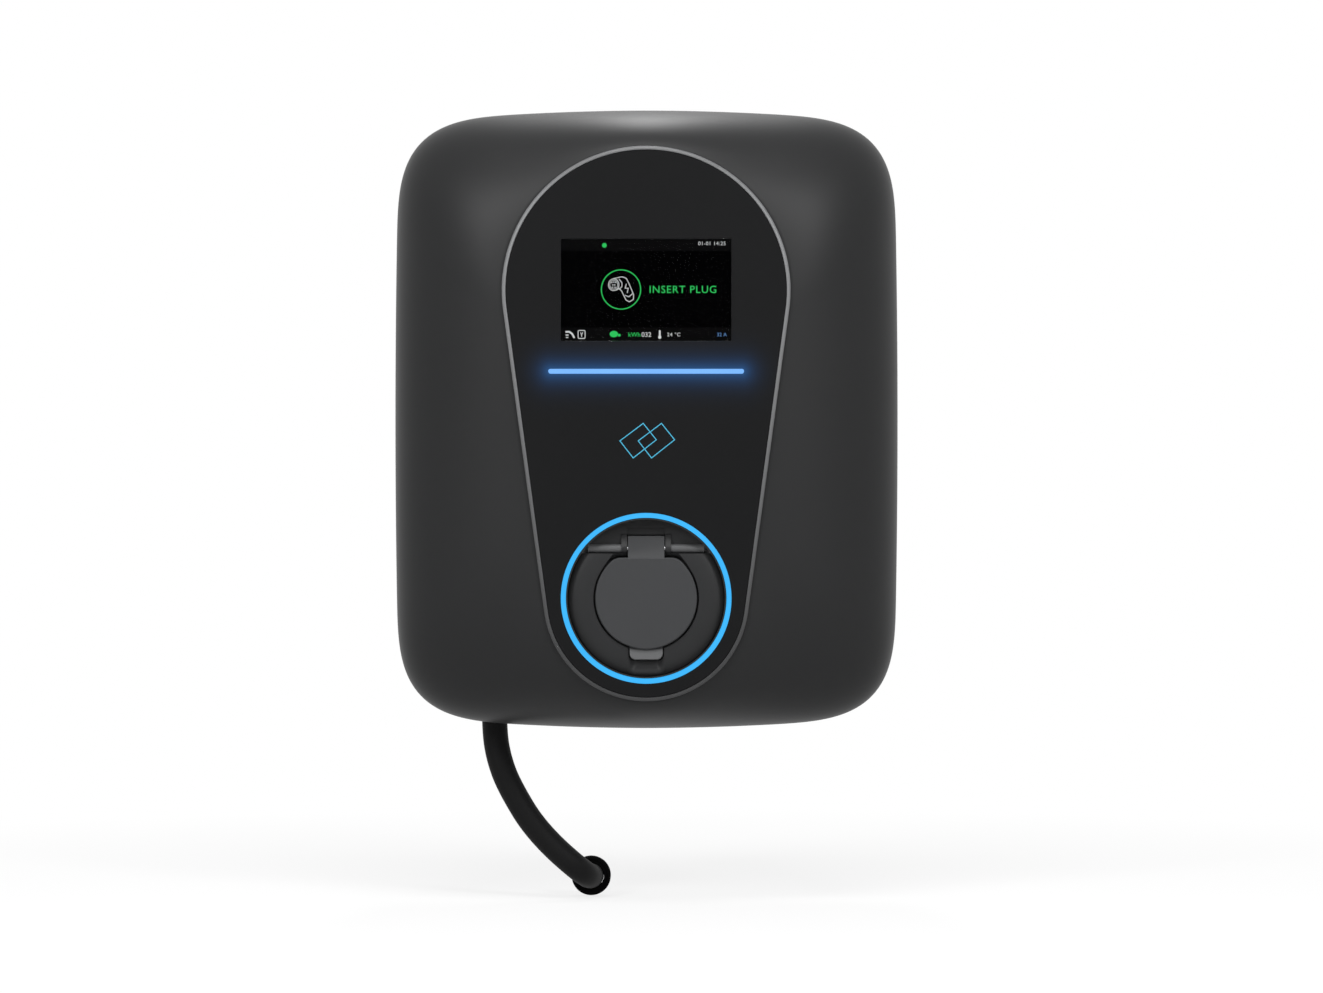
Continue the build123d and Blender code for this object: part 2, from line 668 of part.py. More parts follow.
# Wall bracket: a plate with a lip that the housing hangs on and a foot that locks it
with BuildPart() as wall_bracket:
    with BuildSketch(wall_plane(0)):
        with Locations((0, TAB_BOTTOM)):
            Rectangle(BRACKET_W, LIP_Z + BRACKET_T - TAB_BOTTOM, align=(Align.CENTER, Align.MIN))
        with GridLocations(BOLT_SPAN_X, BOLT_SPAN_Z, 2, 2):
            Circle(BOLT_R, mode=Mode.SUBTRACT)
    extrude(amount=BRACKET_T)
    with BuildSketch(Plane.YZ):
        with BuildLine():
            Polyline(
                (0, LIP_Z),
                (0, LIP_Z + BRACKET_T),
                (-LIP_OUT, LIP_Z + BRACKET_T),
                (-LIP_OUT, LIP_Z + LIP_H),
                (-LIP_OUT - BRACKET_T, LIP_Z + LIP_H),
                (-LIP_OUT - BRACKET_T, LIP_Z),
                close=True,
            )
        make_face()
    extrude(amount=LIP_W / 2, both=True)
    with BuildSketch(Plane.XY.offset(TAB_BOTTOM)):
        Rectangle(BRACKET_W, LOCK_TAB_OUT, align=(Align.CENTER, Align.MAX))
        with Locations((-LOCK_TAB_X, -LOCK_BOSS_OUT), (LOCK_TAB_X, -LOCK_BOSS_OUT)):
            Circle(SCREW_HOLE_R, mode=Mode.SUBTRACT)
    extrude(amount=BRACKET_T)

bracket_screw = make_screw(BRACKET_T + SLIP + SCREW_BITE)
with BuildPart(Plane.XY.offset(TAB_BOTTOM)) as bracket_screws:
    with Locations((-LOCK_TAB_X, -LOCK_BOSS_OUT), (LOCK_TAB_X, -LOCK_BOSS_OUT)):
        add(bracket_screw)

# Fascia: bright trim, black panel, clear window, light guides
with BuildPart() as fascia_trim:
    with BuildSketch(wall_plane(PLATEAU)):
        draw_pear(FIT + TRIM_W)
        offset(amount=-TRIM_W, mode=Mode.SUBTRACT)
    extrude(amount=PANEL_T + TRIM_PROUD)
    trim_front = fascia_trim.faces().sort_by(Axis.Y)[0]
    chamfer(trim_front.outer_wire().edges(), length=TRIM_BEVEL)

with BuildPart() as fascia_panel:
    with BuildSketch(wall_plane(PLATEAU)):
        draw_pear(0.0)
        with Locations((0, SCREEN_Z)):
            Rectangle(SCREEN_W, SCREEN_H, mode=Mode.SUBTRACT)
        with Locations((0, BAR_Z)):
            SlotOverall(BAR_W, BAR_H, mode=Mode.SUBTRACT)
        with Locations((0, SOCKET_Z)):
            Circle(RING_OUT_R + FIT, mode=Mode.SUBTRACT)
    extrude(amount=PANEL_T)
    panel_front = fascia_panel.faces().sort_by(Axis.Y)[0]
    fillet(panel_front.outer_wire().edges(), radius=PANEL_EDGE)

with BuildPart() as display_window:
    with BuildSketch(wall_plane(PLATEAU)):
        with Locations((0, SCREEN_Z)):
            Rectangle(SCREEN_W - 2 * FIT, SCREEN_H - 2 * FIT)
    extrude(amount=PANEL_T)

with BuildPart() as light_bar:
    with BuildSketch(wall_plane(FRONT_BOARD_OUT)):
        with Locations((0, BAR_Z)):
            SlotOverall(BAR_W - 2 * FIT, BAR_H - 2 * FIT)
    extrude(amount=FACE - FRONT_BOARD_OUT)

with BuildPart() as led_ring:
    with BuildSketch(wall_plane(BEZEL_SEAT + BOARD_T)):
        with Locations((0, SOCKET_Z)):
            Circle(RING_OUT_R)
            Circle(RING_IN_R, mode=Mode.SUBTRACT)
    extrude(amount=FACE - BEZEL_SEAT - BOARD_T)

# Front electronics
with BuildPart() as lcd_module:
    with BuildSketch(wall_plane(PLATEAU)):
        with Locations((0, SCREEN_Z)):
            Rectangle(LCD_W, LCD_H)
    extrude(amount=-LCD_T)
    with BuildSketch(wall_plane(PLATEAU - LCD_T)):
        with Locations((0, SCREEN_Z)):
            Rectangle(LCD_TAIL_W, LCD_TAIL_H)
    extrude(amount=FRONT_BOARD_OUT - PLATEAU + LCD_T)

with BuildPart() as front_board:
    with BuildSketch(wall_plane(FRONT_BOARD_OUT)):
        with Locations((0, FRONT_BOARD_Z)):
            Rectangle(FRONT_BOARD_W, FRONT_BOARD_H)
        with Locations(*FRONT_POINTS):
            Circle(SCREW_HOLE_R, mode=Mode.SUBTRACT)
    extrude(amount=-BOARD_T)

board_screw = make_screw(BOARD_T + SCREW_BITE)
with BuildPart(wall_plane(FRONT_BOARD_OUT - BOARD_T)) as front_board_screws:
    with Locations(*FRONT_POINTS):
        add(board_screw)

with BuildPart() as rfid_reader:
    with BuildSketch(wall_plane(FRONT_BOARD_OUT)):
        with Locations((0, CARD_Z)):
            Rectangle(CARD_W, CARD_H)
        with Locations(*CARD_POINTS):
            Circle(SCREW_HOLE_R, mode=Mode.SUBTRACT)
    extrude(amount=-BOARD_T)

with BuildPart(wall_plane(FRONT_BOARD_OUT - BOARD_T)) as rfid_screws:
    with Locations(*CARD_POINTS):
        add(board_screw)

with BuildPart() as ring_led_board:
    with BuildSketch(wall_plane(BEZEL_SEAT)):
        with Locations((0, SOCKET_Z)):
            Circle(RING_BOARD_R)
            Circle(RING_IN_R, mode=Mode.SUBTRACT)
    extrude(amount=BOARD_T)

# Dish: a collar turned about the socket's axis, with a trench, lugs and barrels for the hinge
DISH_R = RING_IN_R - 2 * FIT
RIM_OUT = FACE - RIM_DEPTH
SCOOP_END = sqrt((DISH_R - RIM_LAND) ** 2 - SCOOP_HALF**2)
HINGE_AXIS = Axis((0, -HINGE_OUT, HINGE_Z), (-1, 0, 0))
with BuildPart() as socket_bezel:
    with BuildSketch(Plane.XY.offset(SOCKET_Z)):
        with BuildLine():
            Polyline(
                (CAP_R, COLLAR_DEPTH - FACE),
                (0, COLLAR_DEPTH - FACE),
                (0, -BEZEL_BACK),
                (BEZEL_FLANGE_R, -BEZEL_BACK),
                (BEZEL_FLANGE_R, -BEZEL_SEAT),
                (DISH_R, -BEZEL_SEAT),
                (DISH_R, -RIM_OUT),
                (DISH_R - RIM_LAND, -RIM_OUT),
                (DISH_R - RIM_LAND, DISH_DEPTH - FACE),
            )
            EllipticalCenterArc(
                (CAP_R, DISH_DEPTH - FACE),
                DISH_R - RIM_LAND - CAP_R,
                DISH_DEPTH - COLLAR_DEPTH,
                start_angle=-QUARTER,
                arc_size=QUARTER,
            )
        make_face()
    revolve(axis=Axis((0, 0, SOCKET_Z), (0, 1, 0)))
    with BuildSketch(wall_plane(FLOOR_OUT)):
        draw_flap(COLLAR_GAP)
    extrude(amount=FLOOR_DEPTH, mode=Mode.SUBTRACT)
    with BuildSketch(wall_plane(FACE - TRENCH_DEPTH)):
        with Locations((0, SOCKET_Z)):
            Circle(DISH_R - RIM_LAND)
        with Locations((0, SOCKET_Z + TRENCH_RISE)):
            Rectangle(2 * DISH_R, DISH_R, align=(Align.CENTER, Align.MIN), mode=Mode.INTERSECT)
    extrude(amount=TRENCH_DEPTH, mode=Mode.SUBTRACT)
    with BuildSketch(wall_plane(CAP_BACK - SWING_GAP)):
        draw_flap(SWING_GAP)
    revolve(axis=HINGE_AXIS, revolution_arc=SWING, mode=Mode.SUBTRACT)
    with BuildSketch(Plane.YZ):
        with Locations((-FACE - SCOOP_FORE, SOCKET_Z - SCOOP_DROP)):
            Circle(SCOOP_R)
        with Locations((-FACE, SOCKET_Z - SCOOP_END)):
            Rectangle(4 * SCOOP_R, 4 * SCOOP_R, align=(Align.CENTER, Align.MIN), mode=Mode.INTERSECT)
    extrude(amount=SCOOP_HALF, both=True, mode=Mode.SUBTRACT)
    with BuildSketch(Plane.YZ):
        with Locations((-HINGE_OUT, HINGE_Z)):
            Circle(POCKET_R + POCKET_WALL)
        with Locations((LAP - FLOOR_OUT, HINGE_Z)):
            Rectangle(4 * POCKET_R, 4 * POCKET_R, align=(Align.MIN, Align.CENTER), mode=Mode.INTERSECT)
    extrude(amount=POCKET_HALF + POCKET_WALL, both=True)
    with BuildSketch(Plane.YZ):
        with Locations((-HINGE_OUT, HINGE_Z)):
            Circle(POCKET_R)
        with Locations((-HINGE_OUT, SOCKET_Z + HOLE_FLAT + POCKET_WALL)):
            Rectangle(4 * POCKET_R, 4 * POCKET_R, align=(Align.CENTER, Align.MIN), mode=Mode.INTERSECT)
    extrude(amount=POCKET_HALF, both=True, mode=Mode.SUBTRACT)
    with BuildSketch(wall_plane(FACE - RELIEF_DEPTH)):
        with Locations((0, HINGE_Z)):
            Rectangle(2 * POCKET_HALF, RELIEF_TOP - HINGE_RISE, align=(Align.CENTER, Align.MIN))
    extrude(amount=RELIEF_DEPTH, mode=Mode.SUBTRACT)
    with BuildSketch(wall_plane(BEZEL_BACK - 2 * POCKET_R)):
        draw_flat_round(HOLE_R, HOLE_FLAT)
    extrude(amount=FLOOR_OUT - BEZEL_BACK + 2 * POCKET_R, mode=Mode.SUBTRACT)
    for side in (1, -1):
        with BuildSketch(Plane.YZ.offset(side * POCKET_HALF)):
            with Locations((-HINGE_OUT, HINGE_Z)):
                Circle(LUG_R)
            with Locations((LUG_TOP_BACK - HINGE_OUT, SOCKET_Z + LUG_TOP_RISE - LUG_TOP_R)):
                Circle(LUG_TOP_R)
            make_hull()
        extrude(amount=side * LUG_T)
        with BuildSketch(Plane.YZ.offset(side * (POCKET_HALF + LUG_T / 2))):
            with Locations((-HINGE_OUT, HINGE_Z)):
                Circle(BARREL_R)
        extrude(amount=side * (BARREL_HALF - POCKET_HALF - LUG_T / 2))
    with BuildSketch(Plane.YZ):
        with Locations((-HINGE_OUT, HINGE_Z)):
            Circle(PIN_R + PIN_FIT)
    extrude(amount=PIN_HALF + SLIP, both=True, mode=Mode.SUBTRACT)
    with BuildSketch(wall_plane(BEZEL_BACK)):
        with Locations(*BEZEL_POINTS):
            Circle(SCREW_HOLE_R)
    extrude(amount=BEZEL_SEAT - BEZEL_BACK, mode=Mode.SUBTRACT)
    with BuildSketch(wall_plane(BEZEL_BACK)):
        with Locations(*SOCKET_POINTS):
            Circle(PILOT_R)
    extrude(amount=SOCKET_BITE + SLIP, mode=Mode.SUBTRACT)

bezel_screw = make_screw(BEZEL_SEAT - BEZEL_BACK + BEZEL_POST_L - PILOT_END)
with BuildPart(wall_plane(BEZEL_BACK)) as bezel_screws:
    with Locations(*BEZEL_POINTS):
        add(bezel_screw)

# Flap: a flat-topped disc with a ramp up to the knuckle and a lip to lift it by
STRAP_DEPTH = HINGE_DEPTH - STRAP_R


def dish_point(depth, rise):
    """Point of a side view: depth behind the face and rise above the socket's axis."""
    return depth - FACE, SOCKET_Z + rise


with BuildPart() as socket_cap:
    with BuildSketch(wall_plane(CAP_BACK)):
        draw_flap(0.0)
    extrude(amount=CAP_T)
    fillet(socket_cap.faces().sort_by(Axis.Y)[0].edges(), radius=CAP_EDGE)
    with BuildSketch(Plane.YZ):
        with BuildLine():
            Polyline(
                dish_point(CAP_DEPTH, CAP_FLAT - CAP_EDGE),
                dish_point(STRAP_DEPTH, RAMP_RISE),
                dish_point(STRAP_DEPTH, STRAP_TOP - STRAP_EDGE),
                dish_point(STRAP_DEPTH + STRAP_EDGE, STRAP_TOP),
                dish_point(STRAP_DEPTH + STRAP_T, STRAP_TOP),
                dish_point(STRAP_DEPTH + STRAP_T, HINGE_RISE),
                dish_point(HINGE_DEPTH, HINGE_RISE - STRAP_R),
                dish_point(CAP_DEPTH + CAP_T, CAP_FLAT - CAP_EDGE),
                close=True,
            )
        make_face()
        with Locations((-HINGE_OUT, HINGE_Z)):
            Circle(STRAP_R)
    extrude(amount=STRAP_W / 2, both=True)
    with BuildSketch(Plane.YZ):
        with Locations((-HINGE_OUT, HINGE_Z)):
            Circle(SPRING_R + SPRING_WIRE / 2 + SPRING_ROOM)
            Rectangle(
                2 * STRAP_R,
                2 * SPRING_R + SPRING_WIRE + 2 * SPRING_ROOM,
                align=(Align.MIN, Align.CENTER),
            )
        with Locations(dish_point(STRAP_DEPTH + STRAP_T, HINGE_RISE)):
            Rectangle(2 * STRAP_R, STRAP_TOP - HINGE_RISE, align=(Align.MIN, Align.MIN))
    extrude(amount=SPRING_HALF + SPRING_ROOM, both=True, mode=Mode.SUBTRACT)
    with BuildSketch(Plane.YZ):
        with Locations((-HINGE_OUT, HINGE_Z)):
            Circle(PIN_R + PIN_RUN)
    extrude(amount=STRAP_W, both=True, mode=Mode.SUBTRACT)
    tab_plane = Plane(
        origin=(0, TAB_DEPTH - FACE, SOCKET_Z - CAP_R),
        x_dir=(1, 0, 0),
        z_dir=(0, -TAB_DROP, TAB_LEAN),
    )
    with BuildSketch(tab_plane) as tab_face:
        with Locations((0, TAB_ROOT)):
            Rectangle(TAB_W, TAB_DROP + TAB_ROOT, align=(Align.CENTER, Align.MAX))
        fillet(tab_face.vertices().group_by(Axis.Y)[0], radius=TAB_ROUND)
    extrude(amount=-TAB_T)

with BuildPart() as cap_seal:
    with BuildSketch(wall_plane(CAP_BACK)):
        draw_flat_round(NOSE_R - SEAL_EDGE, NOSE_FLAT - SEAL_EDGE)
        draw_flat_round(WELL_R + SEAL_EDGE, WELL_FLAT + SEAL_EDGE, mode=Mode.SUBTRACT)
    extrude(amount=-SEAL_T)

with BuildPart() as hinge_pin:
    with BuildSketch(Plane.YZ):
        with Locations((-HINGE_OUT, HINGE_Z)):
            Circle(PIN_R)
    extrude(amount=PIN_HALF, both=True)

with BuildPart() as cap_spring:
    coil_half = SPRING_HALF - SPRING_WIRE / 2
    with BuildLine() as coil:
        Helix(
            pitch=2 * coil_half / SPRING_TURNS,
            height=2 * coil_half,
            radius=SPRING_R,
            center=(-coil_half, -HINGE_OUT, HINGE_Z),
            direction=(1, 0, 0),
        )
    with BuildSketch(Plane(origin=coil.line @ 0, z_dir=coil.line % 0)):
        Rectangle(SPRING_WIRE, SPRING_WIRE)
    sweep(path=coil.line, is_frenet=True)
    with Locations((coil_half, -HINGE_OUT, HINGE_Z - SPRING_R)):
        Box(SPRING_WIRE, SPRING_LEG, SPRING_WIRE, align=(Align.CENTER, Align.MIN, Align.CENTER))
    with Locations((-coil_half, -HINGE_OUT, HINGE_Z + SPRING_R - SPRING_WIRE / 2)):
        Box(SPRING_WIRE, SPRING_WIRE, SPRING_LEG, align=(Align.CENTER, Align.CENTER, Align.MIN))

# Type 2 socket: a flat-topped well behind the dish, its insert and its contacts
with BuildPart() as socket_housing:
    with BuildSketch(wall_plane(FACE - SOCKET_BACK)):
        draw_flat_round(NOSE_R, NOSE_FLAT)
    extrude(amount=NOSE_OUT - FACE + SOCKET_BACK)
    with BuildSketch(wall_plane(BEZEL_BACK)):
        draw_flat_round(SOCKET_FLANGE_R, NOSE_FLAT)
    extrude(amount=-SOCKET_FLANGE_T)
    with BuildSketch(wall_plane(LOCK_BACK)):
        with Locations((0, LOCK_SEAT_Z)):
            Rectangle(LOCK_FOOT_W, LOCK_SEAT_DROP, align=(Align.CENTER, Align.MAX))
    extrude(amount=LOCK_L)
    with BuildSketch(wall_plane(FACE - WELL_DEPTH)):
        draw_flat_round(WELL_R, WELL_FLAT)
    extrude(amount=NOSE_OUT - FACE + WELL_DEPTH, mode=Mode.SUBTRACT)
    with BuildSketch(wall_plane(FACE - SOCKET_BACK)):
        with Locations(*POWER_CONTACTS):
            Circle(TAIL_R + FIT)
        with Locations(*SIGNAL_CONTACTS):
            Circle(SIGNAL_TAIL_R + FIT)
    extrude(amount=SOCKET_BACK - WELL_DEPTH, mode=Mode.SUBTRACT)
    with BuildSketch(Plane.XY.offset(LOCK_SEAT_Z)):
        with Locations((0, -LOCK_OUT)):
            Circle(LOCK_PIN_R + LOCK_CLEAR)
    extrude(amount=WELL_FLAT - NOSE_FLAT, mode=Mode.SUBTRACT)
    with BuildSketch(Plane.XY.offset(LOCK_SEAT_Z)):
        with Locations((-LOCK_SCREW_X, -LOCK_OUT), (LOCK_SCREW_X, -LOCK_OUT)):
            Circle(PILOT_R)
    extrude(amount=-SCREW_BITE - PILOT_END, mode=Mode.SUBTRACT)
    with BuildSketch(wall_plane(BEZEL_BACK)):
        with Locations(*SOCKET_POINTS):
            Circle(SCREW_HOLE_R)
    extrude(amount=-SOCKET_FLANGE_T, mode=Mode.SUBTRACT)

socket_screw = make_screw(SOCKET_FLANGE_T + SOCKET_BITE)
with BuildPart(wall_plane(BEZEL_BACK - SOCKET_FLANGE_T)) as socket_screws:
    with Locations(*SOCKET_POINTS):
        add(socket_screw)

with BuildPart() as contact_insert:
    with BuildSketch(wall_plane(FACE - WELL_DEPTH)):
        draw_flat_round(INSERT_R, INSERT_FLAT)
    extrude(amount=WELL_DEPTH - INSERT_DEPTH)
    chamfer(contact_insert.faces().sort_by(Axis.Y)[0].edges(), length=INSERT_EDGE)
    with BuildSketch(wall_plane(FACE - WELL_DEPTH)):
        with Locations(*POWER_CONTACTS):
            Circle(POWER_SLEEVE_R + FIT)
        with Locations(*SIGNAL_CONTACTS):
            Circle(SIGNAL_SLEEVE_R + FIT)
    extrude(amount=WELL_DEPTH - INSERT_DEPTH - GUARD, mode=Mode.SUBTRACT)
    with BuildSketch(wall_plane(FACE - INSERT_DEPTH)):
        with Locations(*POWER_CONTACTS):
            Circle(POWER_PIN_R + SLIP)
        with Locations(*SIGNAL_CONTACTS):
            Circle(SIGNAL_PIN_R + SLIP)
    extrude(amount=-GUARD, mode=Mode.SUBTRACT)

with BuildPart() as socket_contacts:
    with BuildSketch(wall_plane(FACE - WELL_DEPTH)):
        with Locations(*POWER_CONTACTS):
            Circle(POWER_SLEEVE_R)
        with Locations(*SIGNAL_CONTACTS):
            Circle(SIGNAL_SLEEVE_R)
    extrude(amount=WELL_DEPTH - INSERT_DEPTH - GUARD)
    with BuildSketch(wall_plane(FACE - INSERT_DEPTH - GUARD)):
        with Locations(*POWER_CONTACTS):
            Circle(POWER_PIN_R)
        with Locations(*SIGNAL_CONTACTS):
            Circle(SIGNAL_PIN_R)
    extrude(amount=SLEEVE_END + INSERT_DEPTH + GUARD - WELL_DEPTH, mode=Mode.SUBTRACT)
    with BuildSketch(wall_plane(FACE - WELL_DEPTH)):
        with Locations(*POWER_CONTACTS):
            Circle(TAIL_R)
        with Locations(*SIGNAL_CONTACTS):
            Circle(SIGNAL_TAIL_R)
    extrude(amount=WELL_DEPTH - SOCKET_BACK - TAIL_L)

# Plug lock: an actuator on the socket's flat top and the pin that it drives
with BuildPart() as lock_actuator:
    with BuildSketch(wall_plane(LOCK_BACK)):
        with Locations((0, LOCK_SEAT_Z)):
            Rectangle(LOCK_W, LOCK_H, align=(Align.CENTER, Align.MIN))
            Rectangle(LOCK_FOOT_W, LOCK_FOOT_T, align=(Align.CENTER, Align.MIN))
    extrude(amount=LOCK_L)
    with BuildSketch(Plane.XY.offset(LOCK_SEAT_Z)):
        with Locations((0, -LOCK_OUT)):
            Circle(LOCK_PIN_R + LOCK_CLEAR)
    extrude(amount=LOCK_PIN_L, mode=Mode.SUBTRACT)
    with BuildSketch(Plane.XY.offset(LOCK_SEAT_Z)):
        with Locations((-LOCK_SCREW_X, -LOCK_OUT), (LOCK_SCREW_X, -LOCK_OUT)):
            Circle(SCREW_HOLE_R)
    extrude(amount=LOCK_FOOT_T, mode=Mode.SUBTRACT)

with BuildPart() as lock_pin:
    with BuildSketch(Plane.XY.offset(SOCKET_Z + WELL_FLAT + SLIP)):
        with Locations((0, -LOCK_OUT)):
            Circle(LOCK_PIN_R)
    extrude(amount=LOCK_PIN_L)

lock_screw = make_screw(LOCK_FOOT_T + SCREW_BITE)
lock_plane = Plane(origin=(0, 0, LOCK_SEAT_Z + LOCK_FOOT_T), x_dir=(1, 0, 0), z_dir=(0, 0, -1))
with BuildPart(lock_plane) as lock_screws:
    with Locations((-LOCK_SCREW_X, LOCK_OUT), (LOCK_SCREW_X, LOCK_OUT)):
        add(lock_screw)

# Power electronics
with BuildPart() as main_board:
    with BuildSketch(wall_plane(BOARD_OUT)):
        with Locations((0, MAIN_BOARD_Z)):
            Rectangle(MAIN_BOARD_W, MAIN_BOARD_H)
        with Locations(*MAIN_POINTS):
            Circle(SCREW_HOLE_R, mode=Mode.SUBTRACT)
    extrude(amount=BOARD_T)

with BuildPart(back_plane(BOARD_FRONT)) as main_board_screws:
    with Locations(*MAIN_POINTS):
        add(board_screw)

with BuildPart() as output_terminal:
    with BuildSketch(wall_plane(BOARD_FRONT)):
        with Locations((0, OUTPUT_Z)):
            Rectangle(OUTPUT_W, OUTPUT_H)
    extrude(amount=OUTPUT_T)

with BuildPart() as power_relays:
    with BuildSketch(wall_plane(BOARD_FRONT)):
        with Locations(*[(-RELAY_X, RELAY_Z + row * RELAY_PITCH) for row in range(RELAYS)]):
            Rectangle(RELAY_W, RELAY_H)
    extrude(amount=RELAY_T)

with BuildPart() as power_module:
    with BuildSketch(wall_plane(BOARD_FRONT)):
        with Locations((MODULE_X, MODULE_Z)):
            Rectangle(MODULE_W, MODULE_H)
    extrude(amount=MODULE_T)

with BuildPart() as current_sensor:
    with BuildSketch(wall_plane(BOARD_FRONT)):
        with Locations((SENSOR_X, SENSOR_Z)):
            Circle(SENSOR_R)
            Circle(SENSOR_HOLE_R, mode=Mode.SUBTRACT)
    extrude(amount=SENSOR_T)

with BuildPart() as terminal_block:
    with BuildSketch(wall_plane(TERMINAL_OUT)):
        with Locations((GLAND_X, TERMINAL_Z)):
            Rectangle(TERMINAL_W, TERMINAL_H)
    extrude(amount=TERMINAL_T)
    with BuildSketch(wall_plane(TERMINAL_OUT)):
        with Locations((GLAND_X, TERMINAL_Z)):
            Rectangle(TERMINAL_W + 2 * TERMINAL_EAR, TERMINAL_EAR)
        with Locations(*TERMINAL_POINTS):
            Circle(SCREW_HOLE_R, mode=Mode.SUBTRACT)
    extrude(amount=TERMINAL_EAR_T)
    with BuildSketch(wall_plane(TERMINAL_OUT + TERMINAL_T)):
        with Locations((GLAND_X, TERMINAL_Z)):
            with GridLocations(CORE_PITCH, CORE_PITCH, CORES, 1):
                Circle(SCREW_HEAD_R)
    extrude(amount=-SCREW_BITE, mode=Mode.SUBTRACT)

terminal_screw = make_screw(TERMINAL_EAR_T + SCREW_BITE)
with BuildPart(back_plane(TERMINAL_OUT + TERMINAL_EAR_T)) as terminal_screws:
    with Locations(*[(-x, z) for x, z in TERMINAL_POINTS]):
        add(terminal_screw)

# Wires: from the cable's end to the terminal block, and from the board to the socket
CORE_ENDS = []
for core in range(CORES):
    CORE_ENDS.append(GLAND_X + (core - (CORES - 1) / 2) * CORE_PITCH)
CORE_TURNS = sorted([2 * pi * core / CORES + pi / 2 for core in range(CORES)], key=cos)
CORE_TOP = TERMINAL_Z - TERMINAL_H / 2
CORE_OUT = TERMINAL_OUT + TERMINAL_T / 2
with BuildPart() as supply_cores:
    for end, turn in zip(CORE_ENDS, CORE_TURNS):
        start_x = GLAND_X + CORE_RING * cos(turn)
        start_y = CORE_RING * sin(turn) - GLAND_OUT
        with BuildLine() as core_way:
            FilletPolyline(
                (start_x, start_y, TAIL_TOP),
                (start_x, start_y, TAIL_TOP + CORE_RUN),
                (end, -CORE_OUT, CORE_TOP - CORE_RUN),
                (end, -CORE_OUT, CORE_TOP),
                radius=CORE_BEND,
            )
        with BuildSketch(Plane(origin=(start_x, start_y, TAIL_TOP))):
            Circle(CORE_R)
        sweep(path=core_way.line)

LEAD_TOP = OUTPUT_Z - OUTPUT_H / 2
LEAD_START = FACE - SOCKET_BACK - TAIL_L
LEADS = [
    (POWER_CONTACTS[0], LEAD_R, LEAD_OUT_MID),
    (POWER_CONTACTS[1], LEAD_R, LEAD_OUT_MID),
    (POWER_CONTACTS[2], LEAD_R, LEAD_OUT_MID),
    (POWER_CONTACTS[3], LEAD_R, LEAD_OUT_LOW),
    (POWER_CONTACTS[4], LEAD_R, LEAD_OUT_LOW),
    (SIGNAL_CONTACTS[0], SIGNAL_LEAD_R, LEAD_OUT_TOP),
    (SIGNAL_CONTACTS[1], SIGNAL_LEAD_R, LEAD_OUT_TOP),
]
with BuildPart() as socket_leads:
    for (lead_x, lead_z), radius, out in LEADS:
        with BuildLine() as lead_way:
            FilletPolyline(
                (lead_x, -LEAD_START, lead_z),
                (lead_x, -out, lead_z),
                (lead_x, -out, LEAD_TOP),
                radius=LEAD_BEND,
            )
        with BuildSketch(back_plane(LEAD_START)):
            with Locations((-lead_x, lead_z)):
                Circle(radius)
        sweep(path=lead_way.line)

# Cable entry
NUT_TOP = BAY_TOP - GLAND_FLANGE_T - SLIP
NECK_END = BAY_TOP - GLAND_FLANGE_T - GLAND_NECK_L
with BuildPart() as gland_body:
    with BuildSketch(Plane.XY.offset(BAY_TOP - GLAND_FLANGE_T)):
        with Locations(GLAND_SPOT):
            RegularPolygon(GLAND_HEX / 2, 6, major_radius=False)
    extrude(amount=GLAND_FLANGE_T)
    with BuildSketch(Plane.XY.offset(BAY_TOP)):
        with Locations(GLAND_SPOT):
            Circle(THREAD_R)
    extrude(amount=WALL + LOCKNUT_T + GLAND_END)
    with BuildSketch(Plane.XY.offset(NECK_END)):
        with Locations(GLAND_SPOT):
            Circle(GLAND_NECK_R)
    extrude(amount=GLAND_NECK_L)
    with BuildSketch(Plane.XY.offset(NECK_END)):
        with Locations(GLAND_SPOT):
            Circle(CABLE_R + CABLE_FIT)
    extrude(amount=BODY_H / 2, mode=Mode.SUBTRACT)

with BuildPart() as gland_locknut:
    with BuildSketch(Plane.XY.offset(BAY_TOP + WALL)):
        with Locations(GLAND_SPOT):
            RegularPolygon(GLAND_HEX / 2, 6, major_radius=False)
            Circle(THREAD_R + CABLE_FIT, mode=Mode.SUBTRACT)
    extrude(amount=LOCKNUT_T)

with BuildPart() as gland_nut:
    with BuildSketch(Plane.XY.offset(NUT_MOUTH)):
        with Locations(GLAND_SPOT):
            RegularPolygon(GLAND_HEX / 2, 6, major_radius=False)
    extrude(amount=NUT_TOP - NUT_MOUTH)
    chamfer(gland_nut.faces().sort_by(Axis.Z)[0].edges(), length=NUT_EDGE)
    with BuildSketch(Plane.XY.offset(NUT_MOUTH + NUT_LIP)):
        with Locations(GLAND_SPOT):
            Circle(GLAND_NECK_R + FIT)
    extrude(amount=NUT_TOP - NUT_MOUTH - NUT_LIP, mode=Mode.SUBTRACT)
    with BuildSketch(Plane.XY.offset(NUT_MOUTH)):
        with Locations(GLAND_SPOT):
            Circle(CABLE_R + FIT)
    extrude(amount=NUT_LIP, mode=Mode.SUBTRACT)

with BuildPart() as gland_seal:
    with BuildSketch(Plane.XY.offset(NUT_MOUTH + NUT_LIP)):
        with Locations(GLAND_SPOT):
            Circle(GLAND_NECK_R)
            Circle(CABLE_R + CABLE_FIT, mode=Mode.SUBTRACT)
    extrude(amount=NECK_END - NUT_MOUTH - NUT_LIP)

with BuildPart() as cable_tail:
    with BuildSketch(Plane.XY.offset(NUT_MOUTH)):
        with Locations(GLAND_SPOT):
            Circle(CABLE_R)
    extrude(amount=TAIL_TOP - NUT_MOUTH)

